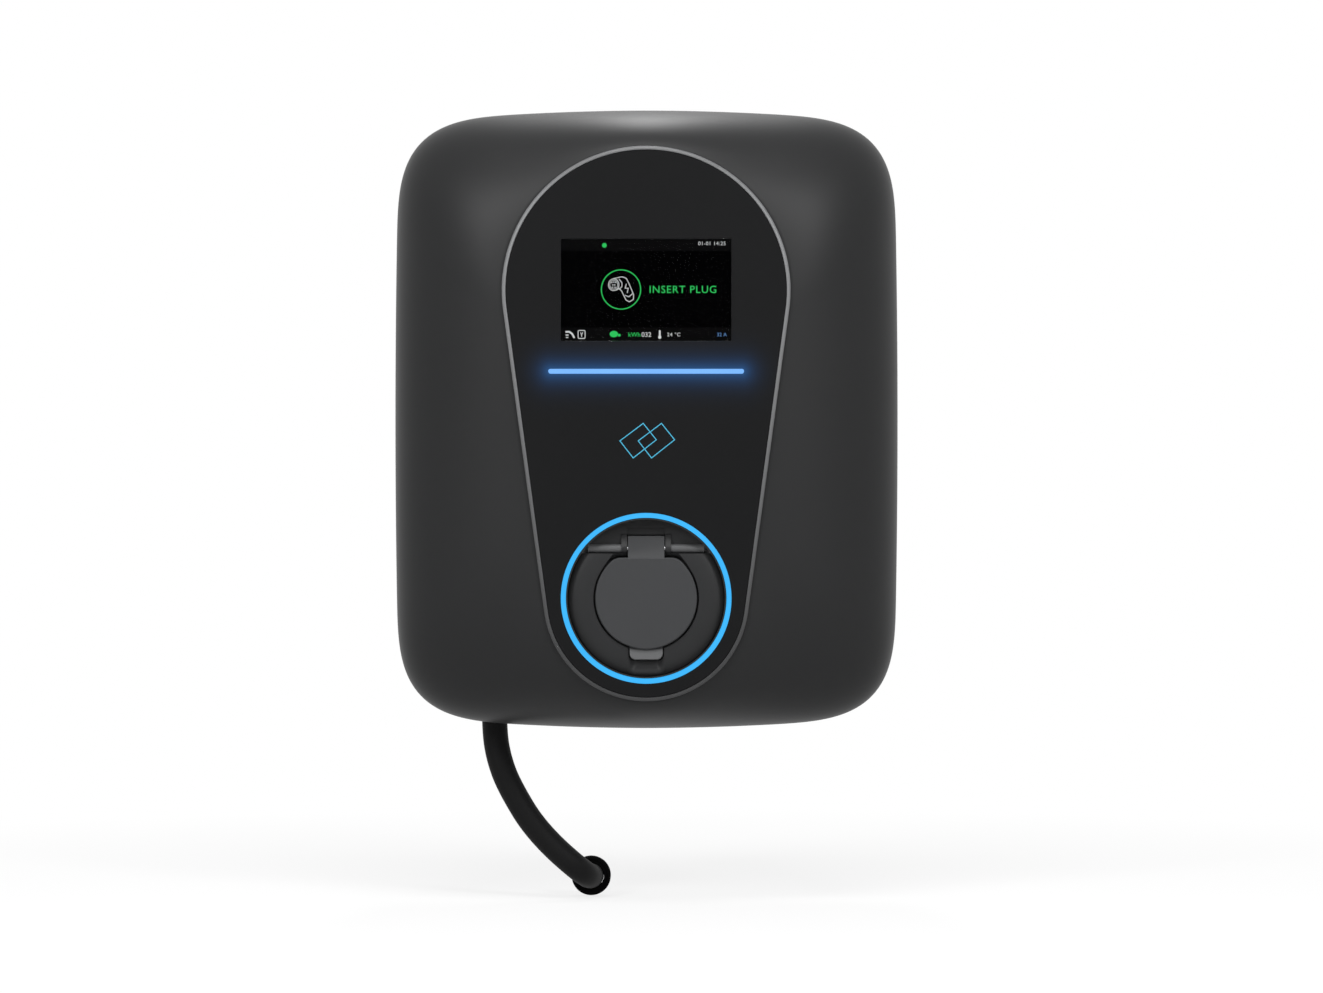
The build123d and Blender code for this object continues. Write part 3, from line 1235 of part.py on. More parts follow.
# Free cable: straight runs with a round bend at each corner, down and back into the wall
ROUTE = [(GLAND_X, -GLAND_OUT, NUT_MOUTH)]
for step_x, step_y, step_z in ROUTE_STEPS:
    ROUTE.append((GLAND_X + step_x, step_y - GLAND_OUT, NUT_MOUTH + step_z))
ROUTE.append((ROUTE[-1][0], 0.0, ROUTE[-1][2]))


def bend_radius(before, corner, after):
    """Radius of the round bend at a corner: it takes up a share of the shorter run."""
    come = Vector(corner) - Vector(before)
    leave = Vector(after) - Vector(corner)
    half_turn = radians(come.get_angle(leave)) / 2
    return BEND_SHARE * min(come.length, leave.length) / tan(half_turn)


BENDS = [bend_radius(*corner) for corner in zip(ROUTE, ROUTE[1:], ROUTE[2:])]
with BuildPart() as supply_cable:
    with BuildLine() as cable_way:
        FilletPolyline(*ROUTE, radius=BENDS)
    with BuildSketch(Plane(origin=ROUTE[0], z_dir=(0, 0, -1))):
        Circle(CABLE_R)
    sweep(path=cable_way.line)

with BuildPart() as wall_grommet:
    with BuildSketch(wall_plane(0)):
        with Locations((ROUTE[-1][0], ROUTE[-1][2])):
            Circle(GROMMET_R)
    extrude(amount=GROMMET_T)
    fillet(wall_grommet.faces().sort_by(Axis.Y)[0].edges(), radius=GROMMET_EDGE)
    with BuildSketch(wall_plane(0)):
        with Locations((ROUTE[-1][0], ROUTE[-1][2])):
            Circle(CABLE_R + CABLE_FIT)
    extrude(amount=GROMMET_T, mode=Mode.SUBTRACT)

CABLE_L = sum(edge.length for edge in cable_way.edges())
print("cable bends", [round(bend, 1) for bend in BENDS])
print("cable length", round(CABLE_L, 1))
print("cable volume share", round(supply_cable.part.volume / (pi * CABLE_R**2 * CABLE_L), 4))

PIECES = {
    "front_cover": front_cover,
    "rear_housing": rear_housing,
    "housing_gasket": housing_gasket,
    "cover_screws": cover_screws,
    "wall_bracket": wall_bracket,
    "bracket_screws": bracket_screws,
    "fascia_trim": fascia_trim,
    "fascia_panel": fascia_panel,
    "display_window": display_window,
    "light_bar": light_bar,
    "led_ring": led_ring,
    "lcd_module": lcd_module,
    "front_board": front_board,
    "front_board_screws": front_board_screws,
    "rfid_reader": rfid_reader,
    "rfid_screws": rfid_screws,
    "ring_led_board": ring_led_board,
    "socket_bezel": socket_bezel,
    "bezel_screws": bezel_screws,
    "socket_cap": socket_cap,
    "cap_seal": cap_seal,
    "hinge_pin": hinge_pin,
    "cap_spring": cap_spring,
    "socket_housing": socket_housing,
    "socket_screws": socket_screws,
    "contact_insert": contact_insert,
    "socket_contacts": socket_contacts,
    "lock_actuator": lock_actuator,
    "lock_pin": lock_pin,
    "lock_screws": lock_screws,
    "main_board": main_board,
    "main_board_screws": main_board_screws,
    "output_terminal": output_terminal,
    "power_relays": power_relays,
    "power_module": power_module,
    "current_sensor": current_sensor,
    "terminal_block": terminal_block,
    "terminal_screws": terminal_screws,
    "supply_cores": supply_cores,
    "socket_leads": socket_leads,
    "gland_body": gland_body,
    "gland_locknut": gland_locknut,
    "gland_nut": gland_nut,
    "gland_seal": gland_seal,
    "cable_tail": cable_tail,
    "supply_cable": supply_cable,
    "wall_grommet": wall_grommet,
}
for name, piece in PIECES.items():
    piece.part.label = name
    export_step(piece.part, f"parts/{name}.step")
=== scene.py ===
import json
import logging
from dataclasses import dataclass, field
from enum import Enum
from math import asin, cos, pi, radians, sin

import bpy
import numpy as np
from bpy.types import ID, Material, Mesh, Node, NodeSocket, NodeTree, Object
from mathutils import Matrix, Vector


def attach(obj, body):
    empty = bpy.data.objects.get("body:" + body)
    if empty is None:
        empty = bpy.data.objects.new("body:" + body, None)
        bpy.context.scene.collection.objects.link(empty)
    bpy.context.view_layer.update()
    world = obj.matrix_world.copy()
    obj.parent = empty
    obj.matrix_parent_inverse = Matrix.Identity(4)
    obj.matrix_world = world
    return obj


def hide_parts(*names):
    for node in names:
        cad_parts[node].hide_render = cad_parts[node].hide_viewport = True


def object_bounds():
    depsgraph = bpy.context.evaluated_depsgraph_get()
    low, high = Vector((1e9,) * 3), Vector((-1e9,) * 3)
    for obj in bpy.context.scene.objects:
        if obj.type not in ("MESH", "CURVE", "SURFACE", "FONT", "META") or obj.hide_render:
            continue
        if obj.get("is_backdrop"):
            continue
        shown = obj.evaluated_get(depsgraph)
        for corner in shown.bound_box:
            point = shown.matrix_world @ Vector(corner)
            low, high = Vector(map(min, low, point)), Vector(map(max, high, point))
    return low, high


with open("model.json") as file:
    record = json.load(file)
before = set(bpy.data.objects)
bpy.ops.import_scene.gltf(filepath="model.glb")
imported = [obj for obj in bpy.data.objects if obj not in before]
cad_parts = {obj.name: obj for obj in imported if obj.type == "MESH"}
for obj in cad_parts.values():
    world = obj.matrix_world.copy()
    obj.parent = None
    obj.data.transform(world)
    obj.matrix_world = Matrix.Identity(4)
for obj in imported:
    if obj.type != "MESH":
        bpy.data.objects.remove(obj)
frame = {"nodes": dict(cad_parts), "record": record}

LOG = logging.getLogger("wallbox")
MM = 0.001
QUARTER = pi / 2
TINY = 1e-9
MERGE_DIGITS = 7
EDGE_POINTS = 9
Colour = tuple[float, float, float]
Spot = tuple[float, float, float]
Point = tuple[float, float]
Shape = tuple[np.ndarray, np.ndarray]
EVEN: Point = (1.0, 1.0)
BLACK: Colour = (0.0, 0.0, 0.0)
WHITE: Colour = (1.0, 1.0, 1.0)
MIX_INPUTS = (0, 6, 7)
MIX_OUTPUT = 2


class Finish(Enum):
    """How a surface is made, which decides the pattern in its material."""

    MOULDED = "moulded"
    RUBBER = "rubber"
    METAL = "metal"
    BOARD = "board"


class Body(Enum):
    """Rigid bodies of the charger that a piece can ride on."""

    WALLBOX = "wallbox"
    FLAP = "flap"
    LOCK = "plug_lock"


@dataclass(frozen=True)
class Look:
    """One finish: its colour, gloss and the pattern of its surface."""

    colour: Colour
    rough: float
    kind: Finish = Finish.MOULDED
    grain: float = 1500.0
    mottle: float = 0.08
    bump: float = 0.12
    shine: float = 0.5
    metal: float = 0.0


@dataclass(frozen=True)
class Zone:
    """A zone of a piece with painted light in its colour: its centre, the weights of the axes and its radius.
    """

    centre: Spot
    weight: Spot
    radius: float
    colour: Colour
    soft: float = 0.3 * MM


@dataclass(frozen=True)
class Texture:
    """A surface's pattern: slow patches of tone under a fine grain, which is drawn out where stretched."""

    name: str
    waves: float
    octaves: float
    fine_octaves: float
    spread: float
    stretch: Point = EVEN


LOOKS: dict[str, Look] = {
    "cover_plastic": Look((0.0110, 0.0112, 0.0116), 0.44, mottle=0.05, bump=0.10, shine=0.16),
    "housing_plastic": Look((0.034, 0.034, 0.036), 0.56, grain=900.0, bump=0.25, shine=0.2),
    "gasket_rubber": Look((0.012, 0.012, 0.012), 0.85, Finish.RUBBER, grain=1200.0, shine=0.25),
    "screw_steel": Look((0.52, 0.52, 0.54), 0.32, Finish.METAL, grain=700.0, metal=1.0),
    "bracket_steel": Look((0.062, 0.062, 0.064), 0.50, grain=420.0, mottle=0.10, bump=0.20, shine=0.3),
    "trim_silver": Look(
        (0.040, 0.0405, 0.0415), 0.40, Finish.METAL, grain=500.0, mottle=0.05, shine=0.2, metal=0.15
    ),
    "panel_black": Look((0.0056, 0.0057, 0.0060), 0.44, mottle=0.06, bump=0.06, shine=0.06),
    "dish_plastic": Look((0.0165, 0.0168, 0.0174), 0.42, grain=1300.0, bump=0.16, shine=0.12),
    "cap_plastic": Look((0.0325, 0.0333, 0.0348), 0.48, grain=1300.0, bump=0.18, shine=0.12),
    "pin_steel": Look((0.56, 0.56, 0.58), 0.25, Finish.METAL, grain=900.0, metal=1.0),
    "spring_steel": Look((0.50, 0.50, 0.52), 0.30, Finish.METAL, grain=900.0, metal=1.0),
    "socket_plastic": Look((0.014, 0.014, 0.015), 0.55, grain=1100.0, bump=0.18, shine=0.2),
    "contact_brass": Look((0.72, 0.70, 0.64), 0.28, Finish.METAL, grain=800.0, metal=1.0),
    "actuator_plastic": Look((0.018, 0.018, 0.018), 0.55, shine=0.4),
    "relay_plastic": Look((0.018, 0.024, 0.040), 0.35, grain=900.0, bump=0.05),
    "sensor_plastic": Look((0.025, 0.055, 0.18), 0.50),
    "terminal_grey": Look((0.32, 0.33, 0.33), 0.50),
    "board_green": Look((0.016, 0.110, 0.045), 0.40, Finish.BOARD, grain=260.0),
    "board_white": Look((0.66, 0.66, 0.64), 0.45, Finish.BOARD, grain=260.0),
    "wire_rubber": Look((0.045, 0.045, 0.055), 0.55, Finish.RUBBER, grain=900.0),
    "gland_plastic": Look((0.014, 0.014, 0.015), 0.55, grain=1000.0, bump=0.18, shine=0.12),
    "cable_rubber": Look((0.0060, 0.0060, 0.0062), 0.60, Finish.RUBBER, grain=1100.0, bump=0.20, shine=0.08),
    "grommet_rubber": Look((0.0020, 0.0020, 0.0021), 0.75, Finish.RUBBER, grain=1000.0, shine=0.02),
    "display_module": Look((0.010, 0.010, 0.012), 0.40, grain=900.0, bump=0.03),
}

TEXTURES: dict[Finish, Texture] = {
    Finish.MOULDED: Texture("moulded grain", 9.0, 3.0, 2.0, 0.06),
    Finish.RUBBER: Texture("rubber skin", 45.0, 4.0, 3.0, 0.12),
    Finish.METAL: Texture("drawn metal", 60.0, 3.0, 2.0, 0.10, stretch=(0.08, 1.0)),
}


class Net:
    """A node tree with short calls to add nodes and join them."""

    def __init__(self, tree: NodeTree) -> None:
        """Keeps the tree that the nodes go into."""
        self.tree = tree

    def add(self, kind: str, **settings: object) -> Node:
        """Adds a node.

        Args:
            kind: Blender's name of the node's class.
            settings: properties of the node, set as they are.

        Returns:
            The new node.
        """
        node = self.tree.nodes.new(kind)
        for name, value in settings.items():
            setattr(node, name, value)
        return node

    def put(self, node: Node, **values: object) -> Node:
        """Sets sockets of a node that stay the same all over, spaces written as underscores."""
        for name, value in values.items():
            node.inputs[name.replace("_", " ")].default_value = value
        return node

    def join(self, start: NodeSocket, end: NodeSocket) -> None:
        """Links an output to an input."""
        self.tree.links.new(start, end)

    def feed(self, entry: NodeSocket, value: object) -> None:
        """Links an output to an input, or sets the input to a plain value."""
        if isinstance(value, NodeSocket):
            self.join(value, entry)
        else:
            entry.default_value = value

    def sum(self, action: str, first: object, second: object = None) -> NodeSocket:
        """A Math node of one or two values or outputs, as its own output."""
        node = self.add("ShaderNodeMath", operation=action)
        for entry, value in zip(node.inputs, (first, second)):
            if value is not None:
                self.feed(entry, value)
        return node.outputs[0]

    def vector(self, action: str, first: NodeSocket, second: NodeSocket | None = None) -> NodeSocket:
        """A Vector Math node of one or two outputs, as its own output."""
        node = self.add("ShaderNodeVectorMath", operation=action)
        self.join(first, node.inputs[0])
        if second is not None:
            self.join(second, node.inputs["Scale" if action == "SCALE" else 1])
        return node.outputs["Value" if action == "LENGTH" else "Vector"]

    def blend(self, mask: NodeSocket, low: object, high: object) -> NodeSocket:
        """Mixes two colours, plain ones or outputs, by a mask from 0 to 1."""
        node = self.add("ShaderNodeMix", data_type="RGBA")
        for place, value in zip(MIX_INPUTS, (mask, low, high)):
            self.feed(node.inputs[place], value)
        return node.outputs[MIX_OUTPUT]

    def either(self, mask: NodeSocket, low: NodeSocket, high: NodeSocket) -> NodeSocket:
        """Mixes two shaders by a mask from 0 to 1."""
        node = self.add("ShaderNodeMixShader")
        for entry, value in zip(node.inputs, (mask, low, high)):
            self.join(value, entry)
        return node.outputs[0]

    def spot(self) -> NodeSocket:
        """Object coordinates of the point that is shaded."""
        return self.add("ShaderNodeTexCoord").outputs["Object"]

    def seen(self) -> NodeSocket:
        """1 for what is seen directly, mirrored or through glass, and 0 for other light."""
        ray = self.add("ShaderNodeLightPath").outputs
        bounced = self.sum("MAXIMUM", ray["Is Glossy Ray"], ray["Is Transmission Ray"])
        return self.sum("MAXIMUM", ray["Is Camera Ray"], bounced)


class Group(Net):
    """A shader node group with one input and one output node."""

    def __init__(self, name: str, takes: dict[str, str], gives: dict[str, str]) -> None:
        """Starts the group.

        Args:
            name: name of the group.
            takes: named inputs, each with its socket type.
            gives: named outputs, each with its socket type.
        """
        super().__init__(bpy.data.node_groups.new(name, "ShaderNodeTree"))
        for way, sockets in (("INPUT", takes), ("OUTPUT", gives)):
            for word, kind in sockets.items():
                self.tree.interface.new_socket(word, in_out=way, socket_type=kind)
        self.take = self.add("NodeGroupInput").outputs
        self.give = self.add("NodeGroupOutput").inputs


VALUE = "NodeSocketFloat"
COLOUR = "NodeSocketColor"
VECTOR = "NodeSocketVector"
PATTERN_IN = {"Colour": COLOUR, "Roughness": VALUE, "Grain": VALUE, "Mottle": VALUE}
PATTERN_OUT = {"Colour": COLOUR, "Roughness": VALUE, "Height": VALUE}


class Patterns:
    """The shader groups that the materials share."""

    ROUGHNESS = 0.55
    CELL_SHIFT = 0.6
    TRACK_GAIN = 1.4
    LACQUER: Point = (600.0, 2.0)
    BOARD_SPREAD = 0.05
    SWELL = 0.16

    def __init__(self) -> None:
        """Builds each group once."""
        self.groups = {kind: self.grained(texture) for kind, texture in TEXTURES.items()}
        self.groups[Finish.BOARD] = self.board()
        self.guide = self.light_guide()
        self.halo = self.light_halo()
        self.zone = self.round_zone()

    @staticmethod
    def finish(net: Group, wide: NodeSocket, fine: NodeSocket, spread: float) -> None:
        """Turns two patterns into colour, roughness and height.

        Args:
            net: the group.
            wide: slow pattern from 0 to 1 that tints the colour.
            fine: small pattern from 0 to 1 that roughens and lifts the surface.
            spread: how much the roughness follows both.
        """
        swing = net.sum("MULTIPLY", net.sum("SUBTRACT", wide, 0.5), net.take["Mottle"])
        level = net.sum("ADD", net.sum("MULTIPLY", swing, 2.0), 1.0)
        net.join(net.vector("SCALE", net.take["Colour"], level), net.give["Colour"])
        both = net.sum("SUBTRACT", net.sum("ADD", wide, fine), 1.0)
        rough = net.sum("ADD", net.take["Roughness"], net.sum("MULTIPLY", both, spread))
        net.join(rough, net.give["Roughness"])
        net.join(fine, net.give["Height"])

    @classmethod
    def noise(cls, net: Net, scale: object, detail: float, stretch: Point = EVEN) -> NodeSocket:
        """Noise on object coordinates.

        Args:
            net: the net it goes into.
            scale: number or output, waves per metre.
            detail: octaves.
            stretch: factors on the coordinates across and along.

        Returns:
            The noise's value, 0 to 1.
        """
        place = net.spot()
        if stretch != EVEN:
            turn = net.put(net.add("ShaderNodeMapping"), Scale=(stretch[0], stretch[0], stretch[1]))
            net.join(place, turn.inputs["Vector"])
            place = turn.outputs["Vector"]
        node = net.put(net.add("ShaderNodeTexNoise"), Detail=detail, Roughness=cls.ROUGHNESS)
        net.join(place, node.inputs["Vector"])
        net.feed(node.inputs["Scale"], scale)
        return node.outputs["Fac"]

    def grained(self, texture: Texture) -> NodeTree:
        """Plastic, rubber or drawn metal: slow patches of tone under a grain of its own fineness."""
        net = Group(texture.name, PATTERN_IN, PATTERN_OUT)
        wide = self.noise(net, texture.waves, texture.octaves)
        fine = self.noise(net, net.take["Grain"], texture.fine_octaves, texture.stretch)
        self.finish(net, wide, fine, texture.spread)
        return net.tree

    def board(self) -> NodeTree:
        """Circuit board: rows of tracks under the lacquer, on a grid of cells."""
        net = Group("board tracks", PATTERN_IN, PATTERN_OUT)
        cells = net.add("ShaderNodeTexVoronoi", distance="MANHATTAN", feature="F1")
        net.put(cells, Randomness=self.CELL_SHIFT)
        net.join(net.spot(), cells.inputs["Vector"])
        net.join(net.take["Grain"], cells.inputs["Scale"])
        gain = net.sum("MULTIPLY", cells.outputs["Distance"], self.TRACK_GAIN)
        tracks = net.sum("MINIMUM", gain, 1.0)
        self.finish(net, tracks, self.noise(net, *self.LACQUER), self.BOARD_SPREAD)
        return net.tree

    def light_guide(self) -> NodeTree:
        """Lit guide: an even glow with a slight unevenness from the lamps behind it."""
        net = Group("lit guide", {"Colour": COLOUR, "Lamps": VALUE}, {"Colour": COLOUR})
        wave = net.sum("SUBTRACT", self.noise(net, net.take["Lamps"], 1.0), 0.5)
        level = net.sum("ADD", net.sum("MULTIPLY", wave, self.SWELL), 1.0)
        net.join(net.vector("SCALE", net.take["Colour"], level), net.give["Colour"])
        return net.tree

    @staticmethod
    def light_halo() -> NodeTree:
        """Light that bleeds from a lit line: it falls off with the distance from a level stretch."""
        takes = {"Half": VALUE, "Height": VALUE, "Reach": VALUE}
        net = Group("light halo", takes, {"Mask": VALUE})
        axes = net.add("ShaderNodeSeparateXYZ")
        net.join(net.spot(), axes.inputs["Vector"])
        past = net.sum("SUBTRACT", net.sum("ABSOLUTE", axes.outputs["X"]), net.take["Half"])
        past = net.sum("MAXIMUM", past, 0.0)
        rise = net.sum("SUBTRACT", axes.outputs["Z"], net.take["Height"])
        square = net.sum("ADD", net.sum("MULTIPLY", past, past), net.sum("MULTIPLY", rise, rise))
        share = net.sum("DIVIDE", net.sum("SQRT", square), net.take["Reach"])
        net.join(net.sum("EXPONENT", net.sum("MULTIPLY", share, -1.0)), net.give["Mask"])
        return net.tree

    @staticmethod
    def round_zone() -> NodeTree:
        """Zone of a piece: 1 within a radius of its centre, 0 past a soft edge, each axis weighed."""
        takes = {"Centre": VECTOR, "Weight": VECTOR, "Radius": VALUE, "Soft": VALUE}
        net = Group("round zone", takes, {"Mask": VALUE})
        shift = net.vector("SUBTRACT", net.spot(), net.take["Centre"])
        far = net.vector("LENGTH", net.vector("MULTIPLY", shift, net.take["Weight"]))
        past = net.sum("DIVIDE", net.sum("SUBTRACT", far, net.take["Radius"]), net.take["Soft"])
        past = net.sum("MINIMUM", net.sum("MAXIMUM", past, 0.0), 1.0)
        net.join(net.sum("SUBTRACT", 1.0, past), net.give["Mask"])
        return net.tree


class Paint:
    """Makes the materials, one for each finish of the record and for the lit parts."""

    BUMP_DEPTH = 0.1 * MM
    HALO_REACH = 4.6 * MM
    HALO_GLOW: Colour = (0.014, 0.090, 0.270)
    GUIDE_ROUGHNESS = 0.35
    GLASS_TINT: Colour = (0.96, 0.97, 0.98)
    GLASS_IOR = 1.45
    GLASS_COAT: Colour = (0.01, 0.01, 0.01)
    GLASS_SMEAR = 0.03
    WIPE: Point = (30.0, 3.0)
    WIPE_STRETCH: Point = (1.0, 0.3)

    def __init__(self, patterns: Patterns) -> None:
        """Keeps the shared patterns."""
        self.patterns = patterns
        self.made: dict[str, Material] = {}

    @staticmethod
    def start(name: str) -> tuple[Material, Net, Node]:
        """An empty material.

        Args:
            name: name of the material.

        Returns:
            The material, its net and its Principled shader.
        """
        material = bpy.data.materials.new(name)
        material.use_nodes = True
        net = Net(material.node_tree)
        return material, net, material.node_tree.nodes["Principled BSDF"]

    def surface(self, slot: str) -> Material:
        """Material of one of the record's slots, made at its first use."""
        if slot not in self.made:
            self.made[slot] = self.patterned(slot, LOOKS[slot])
        return self.made[slot]

    def patterned(self, slot: str, look: Look) -> Material:
        """Material with a shared pattern in its colour, roughness and surface.

        Args:
            slot: name of the record's slot.
            look: the finish.

        Returns:
            The new material.
        """
        material, net, shader = self.start(slot)
        net.put(shader, Metallic=look.metal, Specular_IOR_Level=look.shine)
        pattern = net.add("ShaderNodeGroup", node_tree=self.patterns.groups[look.kind])
        net.put(pattern, Colour=(*look.colour, 1.0), Roughness=look.rough)
        net.put(pattern, Grain=look.grain, Mottle=look.mottle)
        net.join(pattern.outputs["Colour"], shader.inputs["Base Color"])
        net.join(pattern.outputs["Roughness"], shader.inputs["Roughness"])
        bump = net.put(net.add("ShaderNodeBump"), Strength=look.bump, Distance=self.BUMP_DEPTH)
        net.join(pattern.outputs["Height"], bump.inputs["Height"])
        net.join(bump.outputs["Normal"], shader.inputs["Normal"])
        return material

    def paint_light_zone(self, slot: str, zone: Zone) -> None:
        """Paints light into one zone of a finish: a colour of painted light blended in by a soft round mask.

        Args:
            slot: name of the record's slot.
            zone: the zone and its painted colour.
        """
        material = self.surface(slot)
        net = Net(material.node_tree)
        entry = material.node_tree.nodes["Principled BSDF"].inputs["Base Color"]
        mask = net.add("ShaderNodeGroup", node_tree=self.patterns.zone)
        net.put(mask, Centre=zone.centre, Weight=zone.weight, Radius=zone.radius, Soft=zone.soft)
        plain = entry.links[0].from_socket
        # painted light: the zone's colour is blended over the finish's own colour
        net.join(net.blend(mask.outputs["Mask"], plain, (*zone.colour, 1.0)), entry)

    def panel(self, half: float, height: float) -> Material:
        """Black panel with light bleeding from the bar.

        Args:
            half: half length of the lit bar.
            height: height of the lit bar.

        Returns:
            The new material.
        """
        material = self.surface("panel_black")
        net = Net(material.node_tree)
        shader = material.node_tree.nodes["Principled BSDF"]
        halo = net.add("ShaderNodeGroup", node_tree=self.patterns.halo)
        net.put(halo, Half=half, Height=height, Reach=self.HALO_REACH)
        glow = net.blend(halo.outputs["Mask"], (*BLACK, 1.0), (*self.HALO_GLOW, 1.0))
        net.join(glow, shader.inputs["Emission Color"])
        net.put(shader, Emission_Strength=1.0)
        return material

    def lit(self, slot: str, glow: Colour, body: Colour, lamps: float, shine: float = 0.3) -> Material:
        """Light guide: a milky body that glows.

        Args:
            slot: name of the material.
            glow: colour of the light.
            body: colour of the guide itself.
            lamps: how often the light swells, per metre.
            shine: how strongly the surface mirrors.

        Returns:
            The new material.
        """
        material, net, shader = self.start(slot)
        net.put(shader, Base_Color=(*body, 1.0), Roughness=self.GUIDE_ROUGHNESS)
        net.put(shader, Specular_IOR_Level=shine, Emission_Strength=1.0)
        guide = net.add("ShaderNodeGroup", node_tree=self.patterns.guide)
        net.put(guide, Colour=(*glow, 1.0), Lamps=lamps)
        net.join(guide.outputs["Colour"], shader.inputs["Emission Color"])
        self.made[slot] = material
        return material

    def glass(self, slot: str) -> Material:
        """Clear window, coated against reflections, with faint wipe marks in its gloss."""
        material, net, shader = self.start(slot)
        net.put(shader, Base_Color=(*self.GLASS_TINT, 1.0), Transmission_Weight=1.0, IOR=self.GLASS_IOR)
        net.put(shader, Specular_Tint=(*self.GLASS_COAT, 1.0))
        smear = self.patterns.noise(net, *self.WIPE, stretch=self.WIPE_STRETCH)
        net.join(net.sum("MULTIPLY", smear, self.GLASS_SMEAR), shader.inputs["Roughness"])
        self.made[slot] = material
        return material


def add_object(name: str, data: ID) -> Object:
    """New object that shows some data, linked to the scene."""
    thing = bpy.data.objects.new(name, data)
    bpy.context.scene.collection.objects.link(thing)
    return thing


def read_mesh(mesh: Mesh) -> Shape:
    """Points and triangles of a mesh, three numbers each."""
    points = np.empty(3 * len(mesh.vertices))
    mesh.vertices.foreach_get("co", points)
    mesh.calc_loop_triangles()
    corners = np.empty(3 * len(mesh.loop_triangles), np.int64)
    mesh.loop_triangles.foreach_get("vertices", corners)
    return points.reshape(-1, 3), corners.reshape(-1, 3)


def grid_faces(rows: int, cols: int, close_rows: bool, close_cols: bool) -> np.ndarray:
    """Quads of a grid of points stored row by row.

    Args:
        rows: number of rows.
        cols: points in a row.
        close_rows: joins the last row to the first.
        close_cols: joins the last column to the first.

    Returns:
        Array of faces, four point numbers each.
    """
    i = np.arange(rows if close_rows else rows - 1)[:, None]
    j = np.arange(cols if close_cols else cols - 1)[None, :]
    up, on = (i + 1) % rows, (j + 1) % cols
    quad = np.stack([i * cols + j, i * cols + on, up * cols + on, up * cols + j], axis=-1)
    return quad.reshape(-1, 4)


def make_piece(name: str, points: np.ndarray, faces: np.ndarray | list, crease: float = 40.0) -> Object:
    """Puts points and faces into a mesh object at the origin.

    Args:
        name: name of the piece.
        points: array of points, three numbers each.
        faces: array of faces, or a list where their numbers of corners differ.
        crease: angle in degrees past which an edge is sharp.

    Returns:
        The new object, linked to the scene.
    """
    mesh = bpy.data.meshes.new(name)
    corners = faces.tolist() if isinstance(faces, np.ndarray) else faces
    mesh.from_pydata(np.asarray(points, float).reshape(-1, 3).tolist(), [], corners)
    mesh.polygons.foreach_set("use_smooth", np.ones(len(mesh.polygons), bool))
    mesh.set_sharp_from_angle(angle=radians(crease))
    mesh.validate()
    mesh.update()
    return add_object(name, mesh)


def dress(piece: Object, material: Material, slot: str, body: Body = Body.WALLBOX) -> None:
    """Gives a new piece its material and the body that it rides on, and logs the slot of its finish."""
    piece.data.materials.clear()
    piece.data.materials.append(material)
    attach(piece, body.value)
    LOG.info("%s: %s on %s", piece.name, slot, body.value)


def merged_copy(node: str, crease: float) -> Object:
    """Copy of a solid's mesh with its loose triangles joined, so that round faces shade smoothly.

    Args:
        node: name of the solid.
        crease: angle in degrees past which an edge stays sharp.

    Returns:
        The copy, which stands for the solid.
    """
    points, triangles = read_mesh(frame["nodes"][node].data)
    spots, back = np.unique(np.round(points, MERGE_DIGITS), axis=0, return_inverse=True)
    faces = back.reshape(-1)[triangles]
    whole = np.all(faces != np.roll(faces, 1, axis=1), axis=1)
    piece = make_piece(node + "_skin", spots, faces[whole], crease)
    level = piece.modifiers.new("even shading", "WEIGHTED_NORMAL")
    level.mode = "FACE_AREA"
    level.keep_sharp = True
    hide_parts(node)
    return piece


@dataclass
class Pear:
    """Outline of the fascia: a large round above a small one, and the lines that touch both."""

    top_r: float = 88.8 * MM
    low_r: float = 62.6 * MM
    top_z: float = 80.5 * MM
    low_z: float = -114.2 * MM

    def toward(self, x: np.ndarray, z: np.ndarray, grow: np.ndarray) -> tuple[np.ndarray, np.ndarray]:
        """Where rays from the middle through (x, z) cross the outline.

        The ray meets either a tangent line, at reach / slope, or the round whose tangent point it passes,
        at the far root of the circle's quadratic.

        Args:
            x: points across.
            z: points up.
            grow: how far the outline is set outward.

        Returns:
            The crossings, across and up.
        """
        lean = asin((self.top_r - self.low_r) / (self.top_z - self.low_z))
        size = np.hypot(x, z)
        across, along = x / size, z / size
        slope = np.abs(across) * cos(lean) - along * sin(lean)
        reach = self.top_r + grow - self.top_z * sin(lean)
        line = reach / np.where(slope > TINY, slope, TINY)
        upper = self.top_z - (self.top_r + grow) * sin(lean)
        lower = self.low_z - (self.low_r + grow) * sin(lean)
        high, low = line * along > upper, line * along < lower
        centre = np.where(high, self.top_z, self.low_z)
        radius = np.where(high, self.top_r, self.low_r) + grow
        foot = along * centre
        arc = foot + np.sqrt(np.maximum(foot**2 - centre**2 + radius**2, 0.0))
        far = np.where(high | low, arc, line)
        return far * across, far * along


